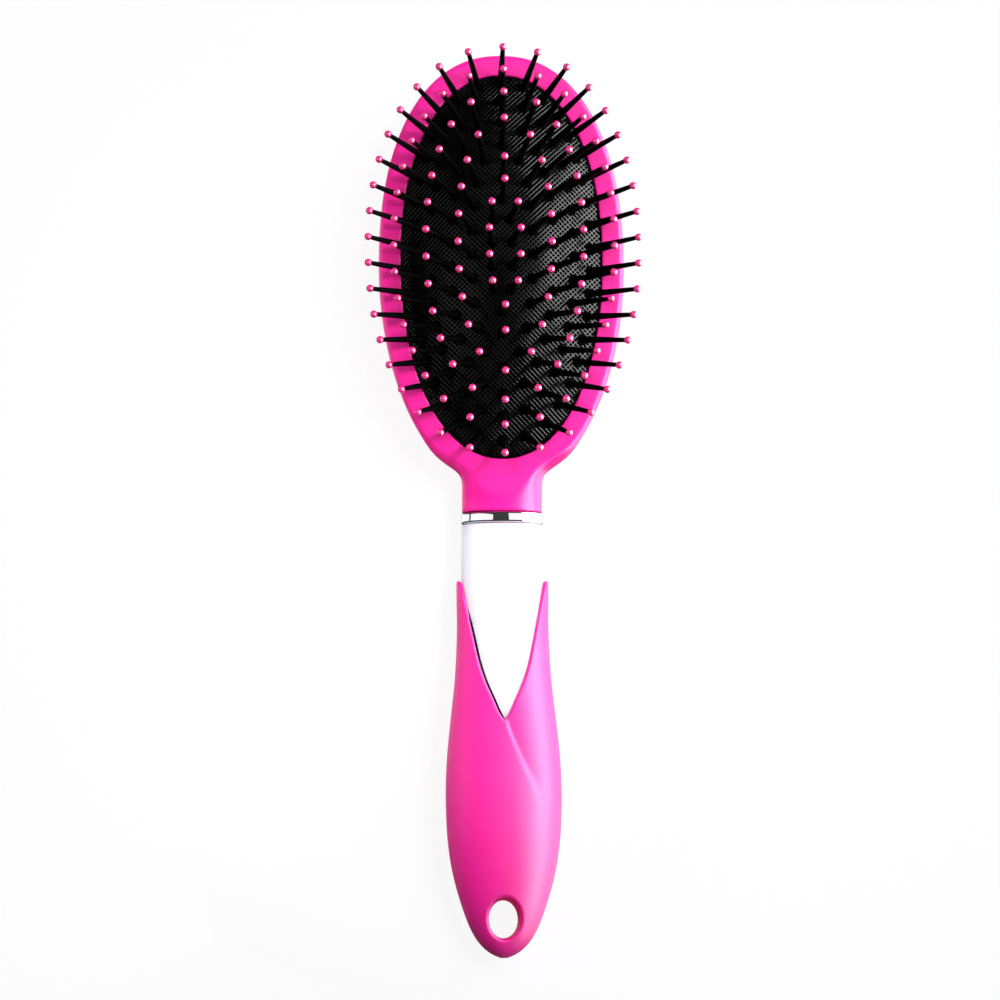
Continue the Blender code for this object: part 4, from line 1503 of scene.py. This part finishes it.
grip_rows = []
half_wall = (grip_wall_at(starts) + FIT_GAP - LIP_CLEARANCE) / 2
for angle in np.linspace(math.pi, 0.0, LIP_ROWS + 2):
    rolled = starts + half_wall * stretch * (1 - math.sin(angle))
    inset = half_wall * (1 - math.cos(angle))
    inset = inset - flare(rolled) * (1 + math.cos(angle)) / 2
    grip_rows.append(handle_points(rolled, inset))
body_start = starts + half_wall * stretch
for share in np.linspace(0.0, 1.0, GRIP_ROWS)[1:]:
    reach = 1 - (1 - share) ** ROW_EASE
    distance = body_start + (HANDLE_LENGTH - body_start) * reach
    grip_rows.append(handle_points(distance, -flare(distance)))
upper = np.cos(turn_at) > 0.0
for row in grip_rows:
    drop = fold_drop(row)
    row[:, 2] -= np.where(upper, drop * np.cos(turn_at), 0.0)

inside_rows = []
for share in np.linspace(0.0, 1.0, INSIDE_ROWS + 1)[1:]:
    distance = body_start + (CORE_END_FROM_SEAM + FIT_GAP - body_start) * share
    inset = grip_wall_at(distance) + (FIT_GAP - LIP_CLEARANCE) * (1 - share) ** 2
    inside_rows.append(handle_points(distance, inset))
sleeve = skin("sleeve", inside_rows[::-1] + grip_rows)
print("Sleeve:", len(sleeve.polygons), "faces")

# %% [markdown]
# ## Grip: the hanging hole
# An oval hole goes through the flat end, with a softly rounded mouth on both faces. A straight
# cutter would leave a sharp edge, so its wall flares at both ends, and each flare follows the
# grip's own curved face. The wall has the slight draft of a moulding, wider in front, so it
# shows as a dark line round the hole. An exact Boolean cuts it.

# %% Cut the hanging hole
HOLE_EGG = (0.0038, 0.00495, 0.00495, 2.0, 2.0)
HOLE_FROM_END = 0.0101
HOLE_FROM_SEAM = HANDLE_LENGTH - HOLE_FROM_END
HOLE_DRAFT = 0.0004
HOLE_SIDES = 96
MOUTH = 0.0011
MOUTH_ROWS = 9
MOUTH_FIRST_ANGLE = 0.12
# The cutter's first row at each face stands this share wider, and this far outside the face
MOUTH_SPREAD = 1.15
MOUTH_OVERRUN = 0.0004
CUTTER_OVERRUN = 0.004
FRONT, BACK = 1, -1


def face_level(x, distance, face):
    """Level of the grip's front or back face at a place."""
    half_width, bottom, top = handle_span(distance)
    inside = 1 - np.minimum(np.abs(x) / half_width, 1.0) ** HANDLE_ROUNDNESS
    reach = (top - bottom) / 2 * inside ** (1 / HANDLE_ROUNDNESS)
    return (top + bottom) / 2 + face * reach


def hole_ring(growth, sink, face):
    """A ring of the cutter, wider by a growth and sunk below the face that it cuts."""
    ring = egg(HOLE_EGG, HOLE_SIDES, growth)
    distance = HOLE_FROM_SEAM - ring[:, 1]
    level = face_level(ring[:, 0], distance, face) - face * sink
    return np.stack((ring[:, 0], SEAM_Y - distance, level), axis=1)


mouth = [(MOUTH * MOUTH_SPREAD, -MOUTH_OVERRUN)]
for angle in np.linspace(MOUTH_FIRST_ANGLE, math.pi / 2, MOUTH_ROWS):
    mouth.append((MOUTH * (1 - math.sin(angle)), MOUTH * (1 - math.cos(angle))))
hole_rows = [hole_ring(growth + HOLE_DRAFT, sink, FRONT) for growth, sink in mouth]
hole_rows += [hole_ring(growth, sink, BACK) for growth, sink in mouth[::-1]]
above = at_level(hole_rows[0][:, :2], HANDLE_DEPTH + CUTTER_OVERRUN)
below = at_level(hole_rows[-1][:, :2], -CUTTER_OVERRUN)
hole_rows = [above] + hole_rows + [below]
cutters = bpy.data.collections.new("cutters")
bpy.context.scene.collection.children.link(cutters)
cutter = bpy.data.objects.new("hole_cutter", tidy(skin("hole_cutter", hole_rows)))
cutters.objects.link(cutter)
cutter.hide_render = True
cutter.display_type = "WIRE"
blank = link("grip_blank", tidy(sleeve))
cut = blank.modifiers.new("hang hole", "BOOLEAN")
cut.operation = "DIFFERENCE"
cut.solver = "EXACT"
cut.object = cutter
bpy.context.view_layer.update()
grip_mesh = final_mesh(blank)
bpy.data.objects.remove(cutter, do_unlink=True)
dress("grip", tidy(grip_mesh), grip_pink, "brush_body", "grip_pink", "grip_sleeve")

# %% [markdown]
# ## The neckline's painted shadow
# Where grip and collar meet, a thin black strip lies in the joint. It is painted shadow, which
# stands in for the shade in the gap, not a real part. It is easy to miss, but it draws the V of
# the neckline: broad on the left petal, a hair line on the right one. It is a tube whose middle
# line follows the grip's own columns just in front of the lip, with a radius of its own at each
# column.

# %% Lay the painted shadow along the neckline
# Sizes of the thin black tube that paints the shadow in the joint between grip and collar
JOINT_SHADOW_LEFT_RADIUS = 0.00024
JOINT_SHADOW_RIGHT_RADIUS = 0.00002
JOINT_SHADOW_LEAST_SHARE = 0.02
JOINT_SHADOW_CROSSING = 0.0010
JOINT_SHADOW_END_SHARE = 0.84
JOINT_SHADOW_FADE_SHARE = 0.10
JOINT_SHADOW_SIDES = 8
OUTWARD_STEP = 0.001


def unit(vectors):
    """The same directions, each one long."""
    return vectors / np.linalg.norm(vectors, axis=1)[:, None]


shadow_columns = [
    column for column in np.argsort((turn_at + math.pi) % math.tau)
    if math.cos(turn_at[column]) > 0 and side_share[column] < JOINT_SHADOW_END_SHARE
]
to_right = smoothstep(-JOINT_SHADOW_CROSSING, JOINT_SHADOW_CROSSING, edge_points[:, 0])
fading = smoothstep(JOINT_SHADOW_END_SHARE - JOINT_SHADOW_FADE_SHARE, JOINT_SHADOW_END_SHARE, side_share)
radius = JOINT_SHADOW_LEFT_RADIUS * (1 - to_right) + JOINT_SHADOW_RIGHT_RADIUS * to_right
radius = radius * (1 + JOINT_SHADOW_LEAST_SHARE - fading)
shadow_at = starts - radius * stretch
shadow_inset = grip_wall_at(shadow_at) + FIT_GAP - radius / 2
shadow_line = handle_points(shadow_at, shadow_inset)[shadow_columns]
above_line = handle_points(shadow_at, shadow_inset - OUTWARD_STEP)[shadow_columns]
outwards = unit(above_line - shadow_line)
sideways = unit(np.cross(unit(np.gradient(shadow_line, axis=0)), outwards))
angles = math.tau * np.arange(JOINT_SHADOW_SIDES) / JOINT_SHADOW_SIDES
shadow_rows = [
    place + size * (np.outer(np.cos(angles), out) + np.outer(np.sin(angles), side))
    for place, out, side, size in zip(shadow_line, outwards, sideways, radius[shadow_columns])
]
# A black tube along the neckline: painted shadow of the joint, given the black rubber's finish
painted_shadow_mesh = tidy(skin("neckline_seal", shadow_rows))
dress("neckline_seal", painted_shadow_mesh, pad_black, "brush_body", "pad_black")

# %% [markdown]
# ## Floor
# The picture has a pure white ground with only a breath of shadow. Raising the light until the
# floor turns white would wash out the brush, so the floor shows white to the camera by itself,
# through Light Path, and keeps a small share of true shading for the shadow. It still throws
# its real light back up on the brush.

# %% Lay the floor
FLOOR_CORNERS = ((-3.0, -3.0, 0.0), (3.0, -3.0, 0.0), (3.0, 3.0, 0.0), (-3.0, 3.0, 0.0))
FLOOR_BELOW = 0.0001
FLOOR_GREY = (0.9, 0.9, 0.9, 1.0)
FLOOR_SHADE_SHARE = 0.09


def empty_material(name):
    """A material that still needs a shader, with its node tree and its output node."""
    paint = bpy.data.materials.new(name)
    paint.use_nodes = True
    tree = paint.node_tree
    tree.nodes.remove(tree.nodes["Principled BSDF"])
    return paint, tree, tree.nodes["Material Output"]


def set_sheet(name, corners, paint):
    """A flat sheet with four corners that stands in the set round the brush."""
    mesh = bpy.data.meshes.new(name)
    mesh.from_pydata(corners, [], [(0, 1, 2, 3)])
    mesh.materials.append(paint)
    return link(name, mesh)


floor_paint, tree, surface = empty_material("floor_white")
shade = add_node(tree, "ShaderNodeBsdfDiffuse", {"Color": FLOOR_GREY})
glow = add_node(tree, "ShaderNodeEmission", {"Color": (1.0, 1.0, 1.0, 1.0)})
ray_kind = add_node(tree, "ShaderNodeLightPath")
share = add_node(tree, "ShaderNodeMath", {1: 1 - FLOOR_SHADE_SHARE}, operation="MULTIPLY")
blend = add_node(tree, "ShaderNodeMixShader")
wire(
    tree,
    (ray_kind, "Is Camera Ray", share, 0),
    (share, 0, blend, "Fac"),
    (shade, "BSDF", blend, 1),
    (glow, "Emission", blend, 2),
    (blend, "Shader", surface, "Surface"),
)
floor = set_sheet("floor", FLOOR_CORNERS, floor_paint)
floor.location.z = -FLOOR_BELOW
floor.visible_glossy = False
print("The floor keeps", FLOOR_SHADE_SHARE, "of its shading")

# %% [markdown]
# ## Lamps
# A broad soft panel stands overhead on the right, towards the top of the head. A soft spot adds
# a pool of light over the neck and the middle of the handle, so that both ends of the brush
# fall away darker. Both are a little blue, so the lit pink leans to magenta while its shaded
# side, lit by the sky alone, stays a warm crimson. A weak fill from the left keeps the left
# side of the white collar and of the handle from turning grey. No lamp is mirrored: what the
# shiny parts mirror is set apart below.

# %% Hang the lamps
LAMP_TINT = (1.0, 0.98, 1.20)
FILL_TINT = (1.0, 1.0, 1.0)


def hang_lamp(name, kind, place, aim, watts, tint, **settings):
    """A lamp that looks at a point and that shiny surfaces don't mirror."""
    data = bpy.data.lights.new(name, kind)
    data.energy = watts
    data.color = tint
    for label, value in settings.items():
        setattr(data, label, value)
    lamp = bpy.data.objects.new(name, data)
    bpy.context.scene.collection.objects.link(lamp)
    lamp.location = place
    way = Vector(place) - Vector(aim)
    lamp.rotation_mode = "QUATERNION"
    lamp.rotation_quaternion = way.to_track_quat("Z", "Y")
    lamp.visible_glossy = False


hang_lamp(
    "panel", "AREA", (0.48, 0.42, 0.70), (0.0, 0.0, 0.0), 6.8, LAMP_TINT,
    shape="RECTANGLE", size=0.62, size_y=0.9,
)
hang_lamp(
    "pool", "SPOT", (0.36, 0.12, 0.92), (0.0, 0.0, 0.0), 38.0, LAMP_TINT,
    spot_size=math.radians(17), spot_blend=1.0, shadow_soft_size=0.12,
)
hang_lamp(
    "fill", "SPOT", (-0.70, 0.10, 0.30), (0.0, 0.0, 0.010), 14.0, FILL_TINT,
    spot_size=math.radians(19), spot_blend=1.0, shadow_soft_size=0.15,
)
print("Lamps:", [lamp.name for lamp in bpy.data.lights])

# %% [markdown]
# ## Flag
# The picture's handle darkens to crimson at its tip. A black flag leans over the tip from the
# lower left, as in a studio, and keeps the sky's light off it. Neither the camera nor a shiny
# surface sees the flag.

# %% Set the flag
FLAG_CORNERS = (
    (-0.075, -0.115, 0.0),
    (0.035, -0.165, 0.0),
    (0.045, -0.110, 0.110),
    (-0.040, -0.075, 0.110),
)
FLAG_BLACK = (0.01, 0.01, 0.01, 1.0)

flag_paint = bpy.data.materials.new("flag_black")
flag_paint.use_nodes = True
flag_shader = flag_paint.node_tree.nodes["Principled BSDF"]
flag_shader.inputs["Base Color"].default_value = FLAG_BLACK
flag = set_sheet("flag", FLAG_CORNERS, flag_paint)
flag.visible_camera = False
flag.visible_glossy = False
print("The flag leans over the tip")

# %% [markdown]
# ## Cards and sky
# The pale sheen down the right side, the white dots on the ball tips and the bands of the
# bright ring are all reflections. In a studio they come from white cards. Here each card is
# seen by shiny rays only, so it draws its reflection without adding light elsewhere. The sky
# lights the brush softly from all round but is nearly dark to shiny rays, which leaves the
# ring its black centre band and keeps the rubber black.

# %% Hang the cards and set the sky
CARD_DISTANCE = 1.0
SKY_LEVEL = 0.37
SKY_MIRRORED = 0.05


def hang_card(name, first, last, low_y, high_y, brightness):
    """A card that only shiny surfaces mirror, between two slopes from straight overhead."""
    corners = []
    for slope, y in ((first, low_y), (first, high_y), (last, high_y), (last, low_y)):
        x = math.sin(math.radians(slope)) * CARD_DISTANCE
        z = math.cos(math.radians(slope)) * CARD_DISTANCE
        corners.append((x, y, z))
    paint, tree, surface = empty_material(name)
    glow = add_node(tree, "ShaderNodeEmission", {"Strength": brightness})
    wire(tree, (glow, "Emission", surface, "Surface"))
    card = set_sheet(name, corners, paint)
    card.visible_camera = False
    card.visible_diffuse = False
    card.visible_shadow = False


# Slopes in degrees, right positive; then the reach along the brush and the brightness
CARDS = (
    ("card_left", -11.5, -71.0, -0.02, 0.32, 1.2),
    ("card_left_low", -79.0, -165.0, -0.02, 0.32, 1.1),
    ("card_right", 9.6, 35.0, -0.06, 0.40, 1.2),
    ("card_sheen", 36.0, 54.0, -0.50, 0.55, 17.0),
    ("card_sheen_mid", 54.0, 76.0, -0.85, 0.95, 17.0),
    ("card_sheen_low", 79.0, 118.0, -0.85, 0.95, 10.0),
    ("card_edge", 118.0, 150.0, -0.50, 0.60, 3.0),
)
for card in CARDS:
    hang_card(*card)

world = bpy.data.worlds.new("world")
bpy.context.scene.world = world
world.use_nodes = True
tree = world.node_tree
sky = tree.nodes["Background"]
sky.inputs["Color"].default_value = (1.0, 1.0, 1.0, 1.0)
sky_ray = add_node(tree, "ShaderNodeLightPath")
sky_level = add_node(tree, "ShaderNodeMapRange", {"To Min": SKY_LEVEL, "To Max": SKY_MIRRORED})
wire(
    tree,
    (sky_ray, "Is Glossy Ray", sky_level, "Value"),
    (sky_level, "Result", sky, "Strength"),
)
bpy.context.scene.view_settings.view_transform = "Standard"
print("The sky lights at", SKY_LEVEL, "and is mirrored at", SKY_MIRRORED)
